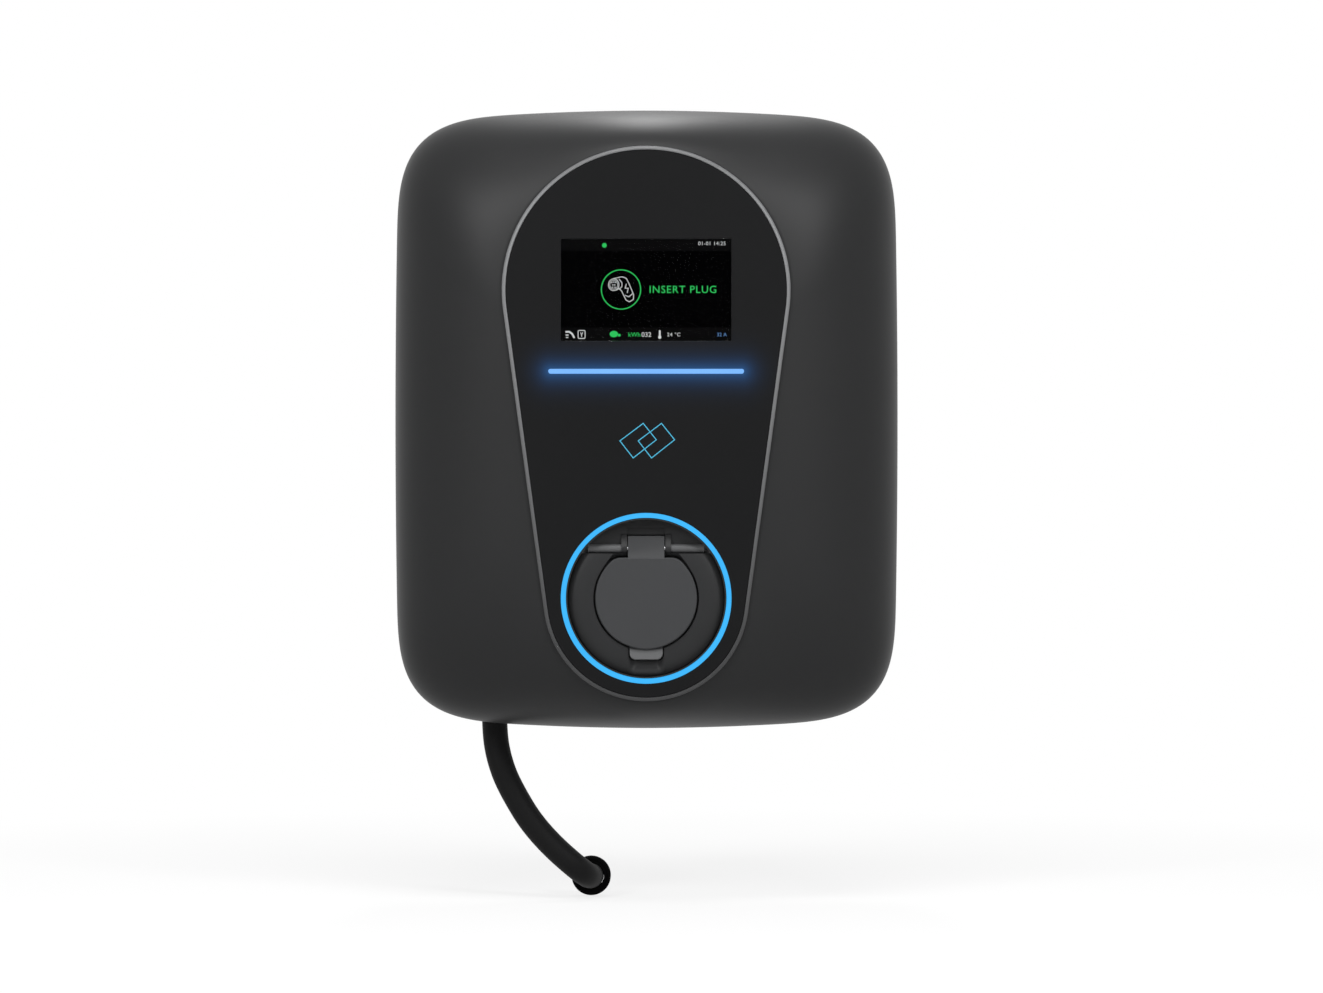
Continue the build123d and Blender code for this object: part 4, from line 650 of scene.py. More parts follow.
@dataclass
class Cover:
    """The front cover: a dome that changes from the crowned outline to the fascia's outline."""

    width: float = 325.0 * MM
    height: float = 399.0 * MM
    reach: float = 84.0 * MM
    power: float = 3.7
    bow_w: float = 2.7 * MM
    bow_h: float = 8.2 * MM
    parting: float = 58.0 * MM
    dome: float = 70.0 * MM
    turn: float = radians(75.0)
    wall: float = 3.0 * MM
    rim: float = 1.0 * MM
    land: float = 2.95 * MM
    lip: float = 7.0 * MM
    ease: float = 0.3 * MM
    inner_ease: float = 0.5 * MM
    corner_points: int = 65
    side_points: int = 25
    rim_points: int = 6
    dome_rows: int = 72
    inner_rows: int = 24
    pear: Pear = field(default_factory=Pear)

    def outline(self, inset: np.ndarray) -> tuple[np.ndarray, np.ndarray]:
        """The crowned outline, set in from its edge.

        A quarter is a straight side, a corner of the form u^p + v^p = 1 taken at even slopes v / u, and a
        straight top. The sides then bow by a share of the square of the height, and the ends likewise.

        Args:
            inset: column of insets, one for each row.

        Returns:
            Points across and up, one row for each inset.
        """
        half_w, half_h = self.width / 2 - inset, self.height / 2 - inset
        reach = self.reach - inset
        flat_w, flat_h = half_w - reach, half_h - reach
        step = np.linspace(0.0, 1.0, self.corner_points)[None, :]
        norm = ((1 - step) ** self.power + step**self.power) ** (1 / self.power)
        side = np.linspace(0.0, 1.0, self.side_points)[None, :-1]
        ones = np.ones_like(side)
        x = np.hstack([half_w * ones, flat_w + reach * (1 - step) / norm, flat_w * (1 - side[:, 1:])])
        z = np.hstack([flat_h * side, flat_h + reach * step / norm, half_h * ones[:, 1:]])
        upper_x = np.hstack([x, np.zeros_like(half_h), -x[:, :0:-1]])
        upper_z = np.hstack([z, half_h, z[:, :0:-1]])
        x, z = np.hstack([upper_x, -upper_x]), np.hstack([upper_z, -upper_z])
        side_bow = self.bow_w / half_w * (z / half_h) ** 2
        end_bow = self.bow_h / half_h * (x / half_w) ** 2
        return x * (1 - side_bow), z * (1 - end_bow)

    def skin(self, turn: np.ndarray, inset: np.ndarray, rise: float, grow: np.ndarray) -> np.ndarray:
        """Points of the dome.

        A row moves from the outline to the fascia's outline by (1 - cos turn) and outward by sin turn.

        Args:
            turn: column of angles, from 0 at the parting.
            inset: column of insets of the outline.
            rise: height of the dome.
            grow: column of growths of the fascia's outline.

        Returns:
            Array of rows of points.
        """
        share = (1 - np.cos(turn)) / (1 - cos(self.turn))
        x, z = self.outline(inset)
        flat_x, flat_z = self.pear.toward(x, z, grow)
        out = self.parting + rise * np.sin(turn) / sin(self.turn)
        depth = np.broadcast_to(-out, x.shape)
        return np.stack([x + (flat_x - x) * share, depth, z + (flat_z - z) * share], axis=-1)

    def ring(self, grow: float, out: float) -> np.ndarray:
        """One row of points on the fascia's outline, grown, at a distance from the wall."""
        x, z = self.outline(np.zeros((1, 1)))
        x, z = self.pear.toward(x, z, np.full((1, 1), grow))
        return np.stack([x, np.full_like(x, -out), z], axis=-1)

    def build(self, paint: Paint) -> None:
        """Builds the shell as one closed grid: outside, flat land, inner lip, inside and rounded rim."""
        bend = np.linspace(-QUARTER, 0.0, self.rim_points)[:-1, None]
        inset = self.rim * (1 - np.cos(bend))
        low = self.skin(np.zeros_like(bend), inset, self.dome, np.full_like(bend, self.land))
        low[:, :, 1] -= self.rim * (1 + np.sin(bend))
        up = np.linspace(0.0, 1.0, self.dome_rows)[:, None]
        start = asin(self.rim / self.dome * sin(self.turn))
        shell = self.skin(start + (self.turn - start) * up, 0 * up, self.dome, self.land + 0 * up)
        plateau = self.parting + self.dome
        profile = (self.land - self.ease, plateau), (-self.lip, plateau), (-self.lip, plateau - self.wall)
        lip = [self.ring(grow, out) for grow, out in profile]
        back = np.linspace(1.0, 0.0, self.inner_rows)[:, None]
        grow = self.land - self.inner_ease + 0 * back
        inside = self.skin(self.turn * back, self.wall + 0 * back, self.dome - self.wall, grow)
        rows = np.concatenate([low, shell, *lip, inside])
        faces = grid_faces(*rows.shape[:2], True, True)[:, ::-1]
        piece = make_piece("cover_shell", rows, faces, crease=24.0)
        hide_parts("front_cover")
        dress(piece, paint.surface("cover_plastic"), "cover_plastic")


@dataclass
class Fascia:
    """Trim, panel, window and pictogram on the flat of the cover."""

    plateau: float = 128.0 * MM
    face: float = 131.0 * MM
    gap: float = 0.15 * MM
    trim: float = 2.3 * MM
    proud: float = 0.3 * MM
    trim_turn: float = radians(45.0)
    bar_half: float = 60.4 * MM
    bar_z: float = 29.3 * MM
    window_w: float = 107.7 * MM
    window_h: float = 64.5 * MM
    screen_z: float = 80.7 * MM
    window_soft: float = 0.12 * MM
    window_flat: float = 2.4 * MM
    window_set: float = 0.02 * MM
    window_back: float = 0.8 * MM
    window_corner: float = 1.0 * MM
    window_points: int = 5
    card_line: float = 0.56 * MM
    card_z: float = -14.2 * MM
    card_step: float = 11.56 * MM
    card_lift: float = 0.06 * MM
    # painted light: a lighter colour about the fascia's upper round, fading downward over a soft edge, so the
    # trim reads lit at its top
    trim_painted_light: Zone = Zone(
        (0.0, 0.0, 80.5 * MM), (0.0, 0.0, 1.0), 20.0 * MM, (0.135, 0.137, 0.140), soft=200.0 * MM
    )
    cover: Cover = field(default_factory=Cover)

    def build_trim(self, paint: Paint) -> None:
        """Trim: an upright inner wall and a round back, carried round the fascia's outline, with painted light
        that makes its upper part lighter.
        """
        top = self.face + self.proud
        lean = np.linspace(0.0, self.trim_turn, EDGE_POINTS)
        grow = self.gap + self.trim * np.sin(lean) / sin(self.trim_turn)
        out = top - self.trim * (1 - np.cos(lean)) / sin(self.trim_turn)
        profile = [(self.gap, self.plateau), *zip(grow, out), (self.gap + self.trim, self.plateau)]
        rows = np.concatenate([self.cover.ring(grow, out) for grow, out in profile])
        piece = make_piece("trim_band", rows, grid_faces(*rows.shape[:2], True, True), crease=50.0)
        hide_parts("fascia_trim")
        # painted light on the upper trim
        paint.paint_light_zone("trim_silver", self.trim_painted_light)
        dress(piece, paint.surface("trim_silver"), "trim_silver")

    def build_card(self, paint: Paint) -> None:
        """Pictogram of the card reader: outlines of two tilted cards that overlap."""
        card = np.array([(-1.86, 10.55), (6.42, 0.19), (-8.17, -11.31), (-16.57, -0.50)]) * MM
        spots = (0.0, self.card_z), (self.card_step, self.card_z)
        parts = [stroke(card + np.array(spot), self.card_line, True) for spot in spots]
        piece = flat_piece("card_pictogram", parts, self.face + self.card_lift)
        glow = paint.lit("card_ink", (0.040, 0.310, 0.460), (0.02, 0.12, 0.18), lamps=90.0)
        dress(piece, glow, "ring_light")

    def build_window(self, paint: Paint) -> None:
        """Window: a flat plate whose front edge is rounded by a quarter turn."""
        half = np.array([self.window_w / 2, self.window_h / 2])
        soft, front = self.window_soft, self.face - self.window_set
        bend = np.linspace(0.0, QUARTER, self.window_points)
        inset = np.concatenate([[0.0], soft * (1 - np.cos(bend)), [self.window_flat]])
        back = self.plateau + self.window_back
        out = np.concatenate([[back], front - soft * (1 - np.sin(bend)), [front]])
        rows = np.stack([rounded_loop(half - step, self.window_corner) for step in inset])
        depth = np.broadcast_to(-out[:, None], rows.shape[:2])
        points = np.stack([rows[..., 0], depth, rows[..., 1] + self.screen_z], axis=-1)
        count = rows.shape[1]
        faces = grid_faces(*rows.shape[:2], False, True).tolist()
        faces.append(tuple(reversed(range(count))))
        faces.append(tuple(range(depth.size - count, depth.size)))
        piece = make_piece("window_plate", points, faces, crease=35.0)
        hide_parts("display_window")
        dress(piece, paint.glass("window_glass"), "window_glass")

    def dress_solids(self, paint: Paint) -> None:
        """Materials of the panel, the bar and the ring, which stay as solids."""
        coat("fascia_panel", paint.panel(self.bar_half, self.bar_z))
        bar = paint.lit("bar_light", (0.155, 0.410, 0.880), (0.02, 0.04, 0.08), lamps=40.0)
        coat("light_bar", bar)
        ring = paint.lit("ring_light", (0.025, 0.420, 0.880), (0.005, 0.030, 0.060), lamps=60.0)
        coat("led_ring", ring)

    def build(self, paint: Paint) -> None:
        """Builds all pieces of the fascia."""
        self.build_trim(paint)
        self.build_card(paint)
        self.build_window(paint)
        self.dress_solids(paint)


def coat(node: str, material: Material) -> None:
    """Gives a solid that stays in view its material."""
    mesh = frame["nodes"][node].data
    mesh.materials.clear()
    mesh.materials.append(material)
    LOG.info("%s: %s", node, material.name)


def rounded_loop(half: np.ndarray, radius: float, steps: int = 6) -> np.ndarray:
    """Rectangle with round corners: four quarter turns about the corners' centres.

    Args:
        half: half sizes across and up.
        radius: radius of the corners.
        steps: steps of a quarter turn.

    Returns:
        Loop of points, anticlockwise.
    """
    turn = np.linspace(0.0, QUARTER, steps + 1)[None, :] + np.arange(4)[:, None] * QUARTER
    sign = np.array([(1, 1), (-1, 1), (-1, -1), (1, -1)])
    centre = sign * (half - radius)
    loop = centre[:, None, :] + radius * np.stack([np.cos(turn), np.sin(turn)], axis=-1)
    return loop.reshape(-1, 2)


def stroke(path: np.ndarray, width: float, closed: bool) -> Shape:
    """Line of even width along a path: each corner moves out along the mitre of its two runs.

    Args:
        path: corners of the line.
        width: width of the line.
        closed: joins the last corner to the first.

    Returns:
        Flat points and faces.
    """
    path = np.asarray(path, float)
    run = np.roll(path, -1, axis=0) - path
    if not closed:
        run[-1] = run[-2]
    unit = run / np.linalg.norm(run, axis=1, keepdims=True)
    before = np.roll(unit, 1, axis=0)
    if not closed:
        before[0] = unit[0]
    normal = np.stack([unit[:, 1], -unit[:, 0]], axis=1)
    older = np.stack([before[:, 1], -before[:, 0]], axis=1)
    mitre = (normal + older) / (1 + np.sum(normal * older, axis=1, keepdims=True))
    points = np.concatenate([path - mitre * width / 2, path + mitre * width / 2])
    faces = grid_faces(2, len(path), False, closed)
    return points, faces


def ring_loop(centre: Point, radius: float, steps: int) -> np.ndarray:
    """Points on a circle, anticlockwise.

    Args:
        centre: its centre.
        radius: its radius.
        steps: number of points.

    Returns:
        The points in order.
    """
    turn = np.linspace(0.0, 2 * pi, steps, endpoint=False)
    return np.stack([centre[0] + radius * np.cos(turn), centre[1] + radius * np.sin(turn)], axis=1)


def drawn(points: list[Point], spot: Point) -> np.ndarray:
    """Points of a drawing in millimetres, moved to a spot."""
    return np.array(points) * MM + np.array(spot)


def disc(loop: np.ndarray) -> Shape:
    """Filled shape inside a loop: triangles about its middle."""
    count = len(loop)
    i = np.arange(count)
    faces = np.stack([i, (i + 1) % count, np.full(count, count)], axis=1)
    return np.concatenate([loop, loop.mean(axis=0, keepdims=True)]), faces


def plate(low: Point, high: Point) -> Shape:
    """Filled rectangle between two corners."""
    points = np.array([(low[0], low[1]), (high[0], low[1]), (high[0], high[1]), (low[0], high[1])])
    return points, np.array([(0, 1, 2, 3)])


def flat_piece(name: str, parts: list[Shape], out: float) -> Object:
    """Flat shapes in one mesh that faces the front.

    Args:
        name: name of the piece.
        parts: shapes, each flat points and faces.
        out: distance from the wall.

    Returns:
        The new piece.
    """
    points, faces, base = [], [], 0
    for flat, shape in parts:
        points.append(np.stack([flat[:, 0], np.full(len(flat), -out), flat[:, 1]], axis=1))
        faces.extend((shape + base).tolist())
        base += len(flat)
    return make_piece(name, np.concatenate(points), faces)


@dataclass
class Display:
    """What the screen shows: strips, a round sign with a plug, a word and a row of small signs."""

    half_w: float = 53.7 * MM
    half_h: float = 32.1 * MM
    middle: float = 80.7 * MM
    out: float = 128.12 * MM
    strip: float = 7.4 * MM
    foot: float = 8.4 * MM
    sign_x: float = -15.9 * MM
    sign_z: float = 81.0 * MM
    sign_r: float = 12.4 * MM
    word_x: float = 1.7 * MM
    foot_z: float = 52.6 * MM
    head_z: float = 109.9 * MM

    @staticmethod
    def word(text: str, size: float, spot: Point, right: bool = False, spread: float = 1.0) -> Shape:
        """Letters as flat shapes.

        Args:
            text: the letters.
            size: height of the letters' body.
            spot: start of the base line, or its end.
            right: counts the spot as the line's end.
            spread: space between the letters.

        Returns:
            Flat points and faces.
        """
        curve = bpy.data.curves.new("letters", "FONT")
        curve.body = text
        curve.size = size
        curve.space_character = spread
        curve.align_x = "RIGHT" if right else "LEFT"
        curve.resolution_u = 4
        holder = add_object("letters", curve)
        ready = holder.evaluated_get(bpy.context.evaluated_depsgraph_get())
        mesh = bpy.data.meshes.new_from_object(ready)
        points, faces = read_mesh(mesh)
        bpy.data.objects.remove(holder)
        bpy.data.meshes.remove(mesh)
        bpy.data.curves.remove(curve)
        return points[:, :2] + np.array(spot), faces

    def plug_sign(self) -> list[Shape]:
        """Plug drawn in lines: a round face with contacts, a bent neck and a grip."""
        at = (self.sign_x, self.sign_z)
        line = 0.45 * MM
        oval, shift = np.array([1.0, 1.12]), np.array([-4.6, 3.0]) * MM
        face = ring_loop((0.0, 0.0), 3.3 * MM, 28) * oval + np.array(at) + shift
        inner = ring_loop((0.0, 0.0), 2.5 * MM, 24) * oval + np.array(at) + shift
        neck = [(-4.9, 6.8), (0.6, 8.1), (3.4, 7.0), (5.2, 3.4), (8.0, -3.4), (7.8, -6.3), (5.3, -7.8),
                (3.1, -6.6), (0.4, -0.9), (-1.4, 0.6), (-3.2, -0.5)]
        grip = [(-1.3, 6.6), (0.6, 4.3), (0.6, 1.8), (-0.9, 0.5)]
        bolt = [(3.4, 3.6), (2.6, 0.8), (4.6, 0.8), (3.9, -2.2)]
        cap = [(2.4, -3.6), (5.0, -4.6), (7.6, -2.4)]
        spots = [(-5.8, 4.5), (-4.6, 4.7), (-3.4, 4.5), (-5.2, 2.9), (-4.0, 2.9), (-5.4, 1.4), (-3.8, 1.4)]
        dots = [disc(ring_loop(tuple(spot), 0.42 * MM, 8)) for spot in drawn(spots, at)]
        lines = [stroke(drawn(path, at), line, False) for path in (neck, grip, bolt, cap)]
        return [stroke(face, line, True), stroke(inner, line * 0.7, True), *lines, *dots]

    def small_signs(self) -> tuple[list[Shape], list[Shape]]:
        """Row of signs along the foot of the screen.

        Returns:
            The white ones and the green ones.
        """
        z = self.foot_z
        lines = (
            (1.1, [(-51.0, 1.6), (-48.6, 1.7), (-46.8, 0.4), (-45.4, -2.2)]),
            (0.7, [(-50.9, -0.4), (-49.0, -0.4)]),
            (0.6, [(-50.7, -1.9), (-49.2, -1.9)]),
        )
        marks = (
            (0.45, [(-41.6, 1.2), (-40.8, -0.1), (-40.0, 1.2)]),
            (0.45, [(-40.8, -0.1), (-40.8, -1.5)]),
        )
        box = rounded_loop(np.array([2.2, 2.5]) * MM, 0.7 * MM, 3) + np.array([-40.8 * MM, z])
        stem = rounded_loop(np.array([0.55, 2.1]) * MM, 0.5 * MM, 3) + np.array([8.6 * MM, z + 0.6 * MM])
        bulb = ring_loop((8.6 * MM, z - 1.7 * MM), 1.05 * MM, 14)
        white = [stroke(drawn(path, (0.0, z)), width * MM, False) for width, path in lines]
        white.append(stroke(box, 0.5 * MM, True))
        white += [stroke(drawn(path, (0.0, z)), width * MM, False) for width, path in marks]
        white += [disc(stem), disc(bulb)]
        white.append(self.word("032", 4.2 * MM, (-3.0 * MM, z - 1.5 * MM)))
        white.append(self.word("24 °C", 3.3 * MM, (13.2 * MM, z - 1.2 * MM), spread=1.1))
        car = ring_loop((-20.4 * MM, z + 0.2 * MM), 2.1 * MM, 20)
        car = (car - car.mean(axis=0)) * np.array([1.25, 0.95]) + car.mean(axis=0)
        tail = ring_loop((-17.0 * MM, z - 0.5 * MM), 0.9 * MM, 10)
        green = [disc(car), disc(tail), self.word("kWh", 3.9 * MM, (-11.4 * MM, z - 1.4 * MM))]
        return white, green

    def build(self, paint: Paint) -> None:
        """Builds the layers of the picture, each a little in front of the one before."""
        low, high, half = self.middle - self.half_h, self.middle + self.half_h, self.half_w
        back = [plate((-half, low), (half, high))]
        strips = [plate((-half, high - self.strip), (half, high)), plate((-half, low), (half, low + self.foot))]
        white, green = self.small_signs()
        white += self.plug_sign()
        clock = (50.4 * MM, self.head_z - 0.9 * MM)
        white.append(self.word("01-01 14:25", 3.3 * MM, clock, right=True, spread=1.1))
        ring = ring_loop((self.sign_x, self.sign_z), self.sign_r, 96)
        leaf = ring_loop((-26.4 * MM, self.head_z - 1.0 * MM), 1.5 * MM, 14)
        green += [stroke(ring, 0.60 * MM, True), disc(leaf)]
        green.append(self.word("INSERT PLUG", 6.6 * MM, (self.word_x, self.sign_z - 2.2 * MM), spread=1.12))
        blue = [self.word("32 A", 3.3 * MM, (51.0 * MM, self.foot_z - 1.2 * MM), right=True)]
        layers = (
            ("screen_back", back, (0.0006, 0.0006, 0.0007), 0.0),
            ("screen_strips", strips, (0.0030, 0.0030, 0.0031), 0.04),
            ("screen_white", white, (0.62, 0.63, 0.63), 0.08),
            ("screen_green", green, (0.030, 0.560, 0.110), 0.08),
            ("screen_blue", blue, (0.10, 0.22, 0.46), 0.08),
        )
        for name, parts, glow, lift in layers:
            piece = flat_piece(name, parts, self.out + lift * MM)
            pixels = paint.lit(name + "_pixels", glow, BLACK, lamps=300.0, shine=0.0)
            dress(piece, pixels, "display_module")


@dataclass
class Socket:
    """Dish, flap and socket: solids whose round faces are smoothed."""

    nodes: tuple[tuple[str, str, Body, float], ...] = (
        ("socket_bezel", "dish_plastic", Body.WALLBOX, 32.0),
        ("socket_cap", "cap_plastic", Body.FLAP, 32.0),
        ("socket_housing", "socket_plastic", Body.WALLBOX, 32.0),
        ("contact_insert", "socket_plastic", Body.WALLBOX, 32.0),
        ("socket_contacts", "contact_brass", Body.WALLBOX, 32.0),
        ("cap_seal", "gasket_rubber", Body.FLAP, 32.0),
        ("hinge_pin", "pin_steel", Body.WALLBOX, 40.0),
        ("lock_pin", "pin_steel", Body.LOCK, 40.0),
    )
    centre_z: float = -114.2 * MM
    dish_r: float = 49.8 * MM
    flap_r: float = 32.2 * MM
    dish_out: float = 123.5 * MM
    collar_h: float = 4.1 * MM
    hollow: tuple[Point, Point] = ((11.3 * MM, 8.6 * MM), (12.02 * MM, 17.0 * MM))
    hollow_power: Point = (5.0, 14.0)
    hollow_rows: int = 14
    hollow_points: int = 65
    hollow_top: float = 31.4 * MM
    hollow_depth: float = 3.2 * MM
    hollow_wall: float = 2.0 * MM
    dip_side: float = 6.5 * MM
    dip_low: float = 41.0 * MM
    dip_top: Point = (33.0 * MM, 38.0 * MM)
    # painted highlight: the hinge bars get a lighter colour in the dish's material
    hinge_bar_highlight: Zone = Zone((0.0, -122.0 * MM, -82.9 * MM), (0.0, 1.0, 1.0), 2.9 * MM, (0.074, 0.075, 0.077))
    # painted light: the flap's lip gets a lighter colour in the cap's material, as if lit from above
    lip: Zone = Zone((0.0, 0.0, -154.2 * MM), (0.0, 0.0, 1.0), 7.6 * MM, (0.074, 0.075, 0.077))

    def build_hollow(self, paint: Paint) -> None:
        """Soft finger hollow under the flap's lip, inside the straight cut of the dish.

        Its rows go from a rounded slot round the lip to the edge of the cut, both of the form
        |x / half|^p + |z / drop|^p = 1. They follow the dish's ellipse, lowered by a smooth dip.

        Args:
            paint: maker of materials.
        """
        turn = np.linspace(0.0, pi, self.hollow_points)[None, :]
        across, down = np.cos(turn), np.sin(turn)
        loops = []
        for (half, drop), power in zip(self.hollow, self.hollow_power):
            side = -half * np.sign(across) * np.abs(across) ** (2 / power)
            loops.append((side, drop * np.abs(down) ** (2 / power)))
        rise = np.linspace(0.0, 1.0, self.hollow_rows)[:, None]
        x = loops[0][0] + (loops[1][0] - loops[0][0]) * rise
        low = self.hollow_top + loops[0][1] + (loops[1][1] - loops[0][1]) * rise
        share = np.clip((np.hypot(x, low) - self.flap_r) / (self.dish_r - self.flap_r), 0.0, 1.0)
        width, height = self.hollow[1]
        end = self.hollow_top + height
        dip = self.fade(np.abs(x), self.dip_side, width) * self.fade(low, self.dip_low, end)
        dip = dip * (1 - self.fade(low, *self.dip_top))
        out = self.dish_out + self.collar_h * np.sqrt(1 - share**2) - self.hollow_depth * dip
        points = np.stack([x, -out, self.centre_z - low], axis=-1)
        wall = points[:1] + np.array([0.0, self.hollow_wall, 0.0])
        rows = np.concatenate([wall, points])
        piece = make_piece("finger_hollow", rows, grid_faces(*rows.shape[:2], False, False), crease=60.0)
        dress(piece, paint.surface("dish_plastic"), "dish_plastic")

    @staticmethod
    def fade(value: np.ndarray, start: float, end: float) -> np.ndarray:
        """Smooth step down from 1 at the start to 0 at the end."""
        step = np.clip((value - start) / (end - start), 0.0, 1.0)
        return 1 - step**2 * (3 - 2 * step)

    def build(self, paint: Paint) -> None:
        """Paints a highlight onto the hinge bars and painted light onto the flap's lip, smooths each solid and
        adds the finger hollow.
        """
        # painted highlight on the hinge bars
        paint.paint_light_zone("dish_plastic", self.hinge_bar_highlight)
        # painted light on the flap's lip
        paint.paint_light_zone("cap_plastic", self.lip)
        for node, slot, body, crease in self.nodes:
            dress(merged_copy(node, crease), paint.surface(slot), slot, body)
        self.build_hollow(paint)


@dataclass
class Back:
    """Rear housing, cable entry and bracket: solids whose round faces are smoothed."""

    nodes: tuple[tuple[str, str, float], ...] = (
        ("rear_housing", "housing_plastic", 30.0),
        ("housing_gasket", "gasket_rubber", 30.0),
        ("gland_body", "gland_plastic", 32.0),
        ("gland_nut", "gland_plastic", 32.0),
        ("gland_locknut", "gland_plastic", 32.0),
        ("gland_seal", "gasket_rubber", 32.0),
        ("cable_tail", "cable_rubber", 32.0),
    )

    def build(self, paint: Paint) -> None:
        """Replaces each solid by its smoothed copy."""
        for node, slot, crease in self.nodes:
            dress(merged_copy(node, crease), paint.surface(slot), slot)


@dataclass
class Cable:
    """Supply cable: out of the cable entry, down and back into a fitting on the wall."""

    radius: float = 8.25 * MM
    length: float = 0.164
    ring_r: float = 12.9 * MM
    ring_t: float = 7.0 * MM
    edge: float = 2.0 * MM
    slip: float = 0.1 * MM
    bevel: float = 0.3 * MM
    groove: float = 0.35 * MM
    sides: int = 72
    route: tuple[Spot, ...] = (
        (-0.0994, -0.0300, -0.1880),
        (-0.0994, -0.0300, -0.2034),
        (-0.0966, -0.0310, -0.2206),
        (-0.0900, -0.0325, -0.2385),
        (-0.0713, -0.0358, -0.2690),
        (-0.0366, -0.0380, -0.2996),
        (-0.0366, 0.0000, -0.2996),
    )

    def fitting(self, paint: Paint) -> Object:
        """Wall fitting: a ring turned about the cable's end, its front edge round.

        The profile runs up the outside, round the edge by a quarter turn, across the front with a shallow
        groove and back down the hole.

        Args:
            paint: maker of materials.

        Returns:
            The fitting, which stands for its solid.
        """
        bend = np.linspace(0.0, QUARTER, EDGE_POINTS)
        hole, front = self.radius + self.slip, self.ring_r - self.edge
        r = [[self.ring_r], self.ring_r - self.edge * (1 - np.cos(bend))]
        out = [[0.0], self.ring_t - self.edge * (1 - np.sin(bend))]
        inner = np.linspace(0.0, 1.0, 7)[1:]
        r += [front - (front - hole - self.bevel) * inner, [hole, hole]]
        out += [self.ring_t - self.groove * np.sin(pi * inner), [self.ring_t - self.bevel, 0.0]]
        r, out = np.concatenate(r)[:, None], np.concatenate(out)[:, None]
        turn = np.linspace(0.0, 2 * pi, self.sides, endpoint=False)[None, :]
        end = self.route[-1]
        depth = np.broadcast_to(-out, (len(r), self.sides))
        points = np.stack([end[0] + r * np.cos(turn), depth, end[2] + r * np.sin(turn)], axis=-1)
        piece = make_piece("wall_fitting", points, grid_faces(*points.shape[:2], True, True))
        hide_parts("wall_grommet")
        dress(piece, paint.surface("grommet_rubber"), "grommet_rubber")
        return piece

    def build(self, paint: Paint) -> None:
        """Builds the cable as one round line through its route, and the fitting on its end."""
        ring = self.fitting(paint)
        curve = bpy.data.curves.new("cable_line", "CURVE")
        curve.dimensions = "3D"
        curve.bevel_depth = self.radius
        curve.bevel_resolution = 10
        curve.resolution_u = 24
        curve.use_fill_caps = True
        line = curve.splines.new("NURBS")
        line.points.add(len(self.route) - 1)
        line.points.foreach_set("co", np.c_[np.array(self.route), np.ones(len(self.route))].ravel())
        line.order_u = 3
        line.use_endpoint_u = True
        line.use_smooth = True
        piece = add_object("cable", curve)
        dress(piece, paint.surface("cable_rubber"), "cable_rubber")
        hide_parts("supply_cable")


class Inside:
    """Solids that stay as they are, inside or behind the charger."""

    slots: dict[str, str] = {item["node"]: item["material_slot"] for item in frame["record"]["subparts"]}

    def build(self, paint: Paint) -> None:
        """Gives each solid that has no other look the material of its slot."""
        for node, slot in self.slots.items():
            if slot in LOOKS and slot != "panel_black":
                coat(node, paint.surface(slot))


@dataclass
class Lamp:
    """A soft light: where it is, what it points at, its size and its power."""

    name: str
    place: Spot
    aim: Spot
    size: Point
    power: float

    def build(self) -> None:
        """Builds the lamp as a rectangle of light."""
        light = bpy.data.lights.new(self.name, "AREA")
        light.shape = "RECTANGLE"
        light.size, light.size_y = self.size
        light.energy = self.power
        holder = add_object(self.name, light)
        holder.location = self.place
        way = Vector(self.aim) - Vector(self.place)
        holder.rotation_euler = way.to_track_quat("-Z", "Y").to_euler()


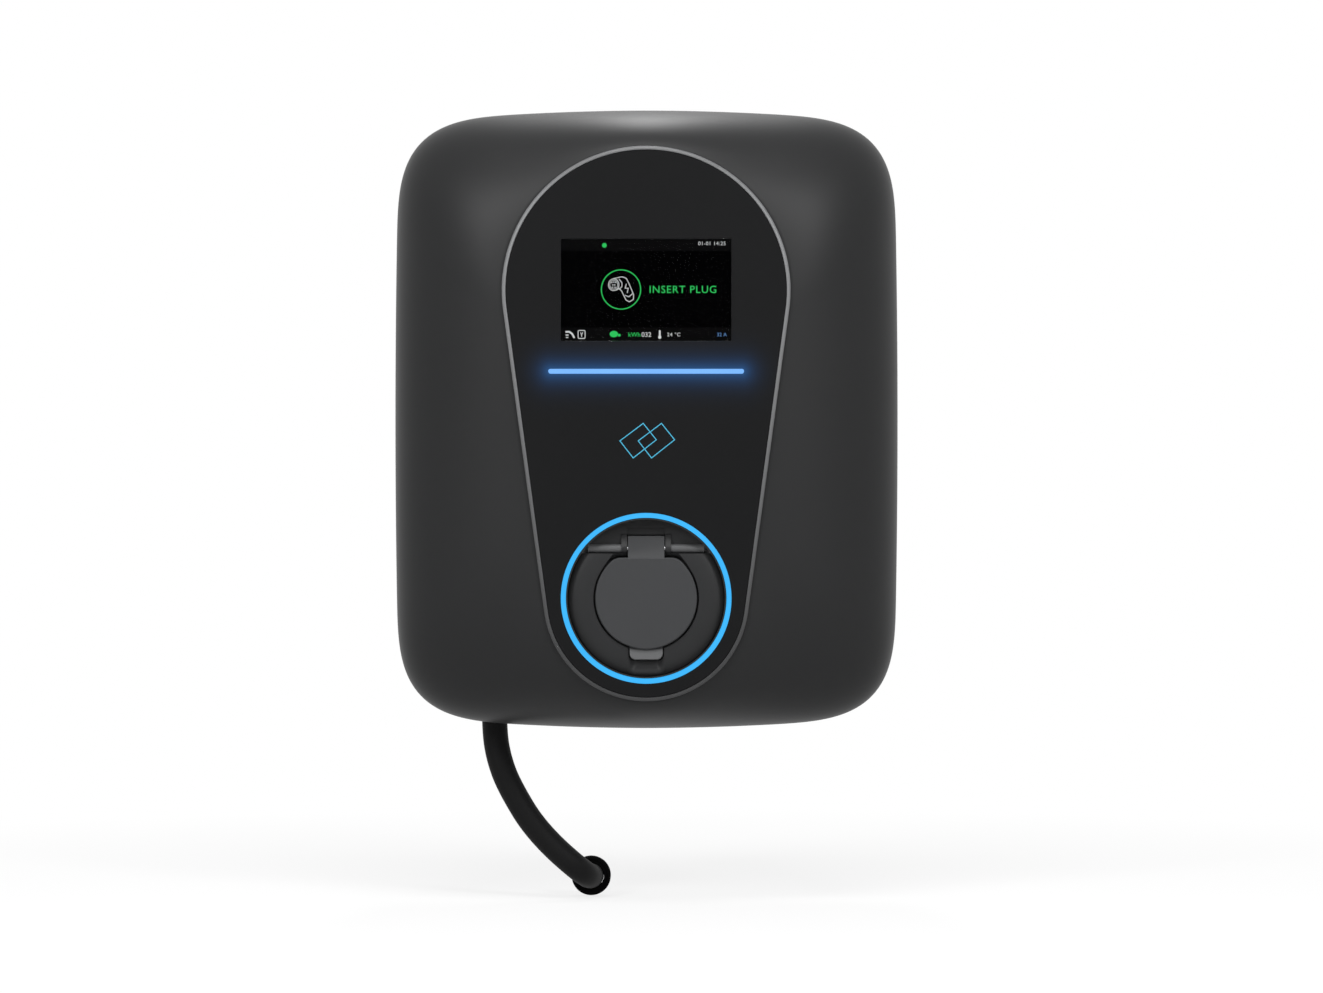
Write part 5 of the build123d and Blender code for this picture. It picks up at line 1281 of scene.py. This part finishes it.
@dataclass
class Studio:
    """Floor, white surroundings, lamps and camera."""

    floor_z: float = -0.3128
    floor_rings: tuple[float, ...] = (6.0, 2.5, 1.0, 0.4)
    floor_sides: int = 96
    floor_tone: float = 0.80
    floor_rough: float = 0.9
    fade: Point = (0.35, 0.95)
    share: float = 0.76
    ambient: float = 0.38
    camera: Spot = (0.0097, -3.058, -0.04985)
    sensor: float = 36.0
    frame_w: float = 0.8565
    distance: float = 3.0
    far: float = 50.0
    lamps: tuple[Lamp, ...] = (
        Lamp("top softbox", (0.0, 0.50, 1.05), (0.0, -0.05, 0.15), (0.15, 0.55), 4.0),
        Lamp("left softbox", (-1.15, -1.80, 0.88), (0.0, -0.1, 0.05), (0.40, 0.65), 23.0),
        Lamp("right softbox", (1.15, -1.80, 0.88), (0.0, -0.1, 0.05), (0.40, 0.65), 23.0),
        Lamp("front softbox", (0.0, -1.20, 1.60), (0.0, -0.1, 0.0), (1.00, 0.60), 24.0),
    )

    def build_floor(self) -> None:
        """Pale floor: a wide disc that takes the shadow, fades into white and is clear from below."""
        turn = np.linspace(0.0, 2 * pi, self.floor_sides, endpoint=False)
        reach = np.array(self.floor_rings)[:, None]
        level = np.full((len(reach), self.floor_sides), self.floor_z)
        points = np.stack([reach * np.cos(turn), reach * np.sin(turn), level], axis=-1)
        faces = grid_faces(*level.shape, False, True).tolist()
        faces.append(tuple(range(level.size - self.floor_sides, level.size)))
        floor = make_piece("floor", points, faces)
        material, net, shader = Paint.start("pale floor")
        tone = self.floor_tone
        net.put(shader, Base_Color=(tone, tone, tone, 1.0), Roughness=self.floor_rough, Specular_IOR_Level=0.0)
        glow = net.put(net.add("ShaderNodeEmission"), Color=(*WHITE, 1.0), Strength=1.0)
        fade = net.add("ShaderNodeMapRange", interpolation_type="SMOOTHSTEP")
        net.put(fade, From_Min=self.fade[0], From_Max=self.fade[1], To_Min=self.share, To_Max=1.0)
        net.join(net.vector("LENGTH", net.spot()), fade.inputs["Value"])
        white = net.sum("MULTIPLY", net.seen(), fade.outputs["Result"])
        above = net.either(white, shader.outputs[0], glow.outputs[0])
        below = net.add("ShaderNodeBsdfTransparent").outputs[0]
        behind = net.add("ShaderNodeNewGeometry").outputs["Backfacing"]
        surface = material.node_tree.nodes["Material Output"].inputs["Surface"]
        net.join(net.either(behind, above, below), surface)
        floor.data.materials.append(material)
        floor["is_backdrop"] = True

    def build_world(self) -> None:
        """White surroundings for what is seen, mirrored or looked through, dimmer as light."""
        world = bpy.data.worlds.new("white studio")
        bpy.context.scene.world = world
        world.use_nodes = True
        net = Net(world.node_tree)
        back = world.node_tree.nodes["Background"]
        net.put(back, Color=(*WHITE, 1.0))
        net.join(net.sum("MAXIMUM", net.seen(), self.ambient), back.inputs["Strength"])

    def build_camera(self) -> None:
        """Camera level in front of the charger, with the photograph's field of view."""
        lens = bpy.data.cameras.new("front camera")
        lens.sensor_width = self.sensor
        lens.lens = self.sensor * self.distance / self.frame_w
        lens.clip_end = self.far
        holder = add_object("front camera", lens)
        holder.location = self.camera
        holder.rotation_euler = (QUARTER, 0.0, 0.0)
        bpy.context.scene.camera = holder

    def build(self) -> None:
        """Builds the whole studio."""
        self.build_floor()
        self.build_world()
        self.build_camera()
        for lamp in self.lamps:
            lamp.build()
        bpy.context.scene.view_settings.view_transform = "Standard"


def corners() -> list[list[float]]:
    """Lowest and highest corner of what is shown, as plain numbers."""
    return [[float(value) for value in corner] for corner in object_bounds()]


def main() -> None:
    logging.basicConfig(level=logging.INFO, format="%(name)s: %(message)s")
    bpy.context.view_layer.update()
    paint = Paint(Patterns())
    for part in (Inside(), Cover(), Fascia(), Display(), Socket(), Back(), Cable()):
        part.build(paint)
    Studio().build()


if __name__ == "__main__":
    main()
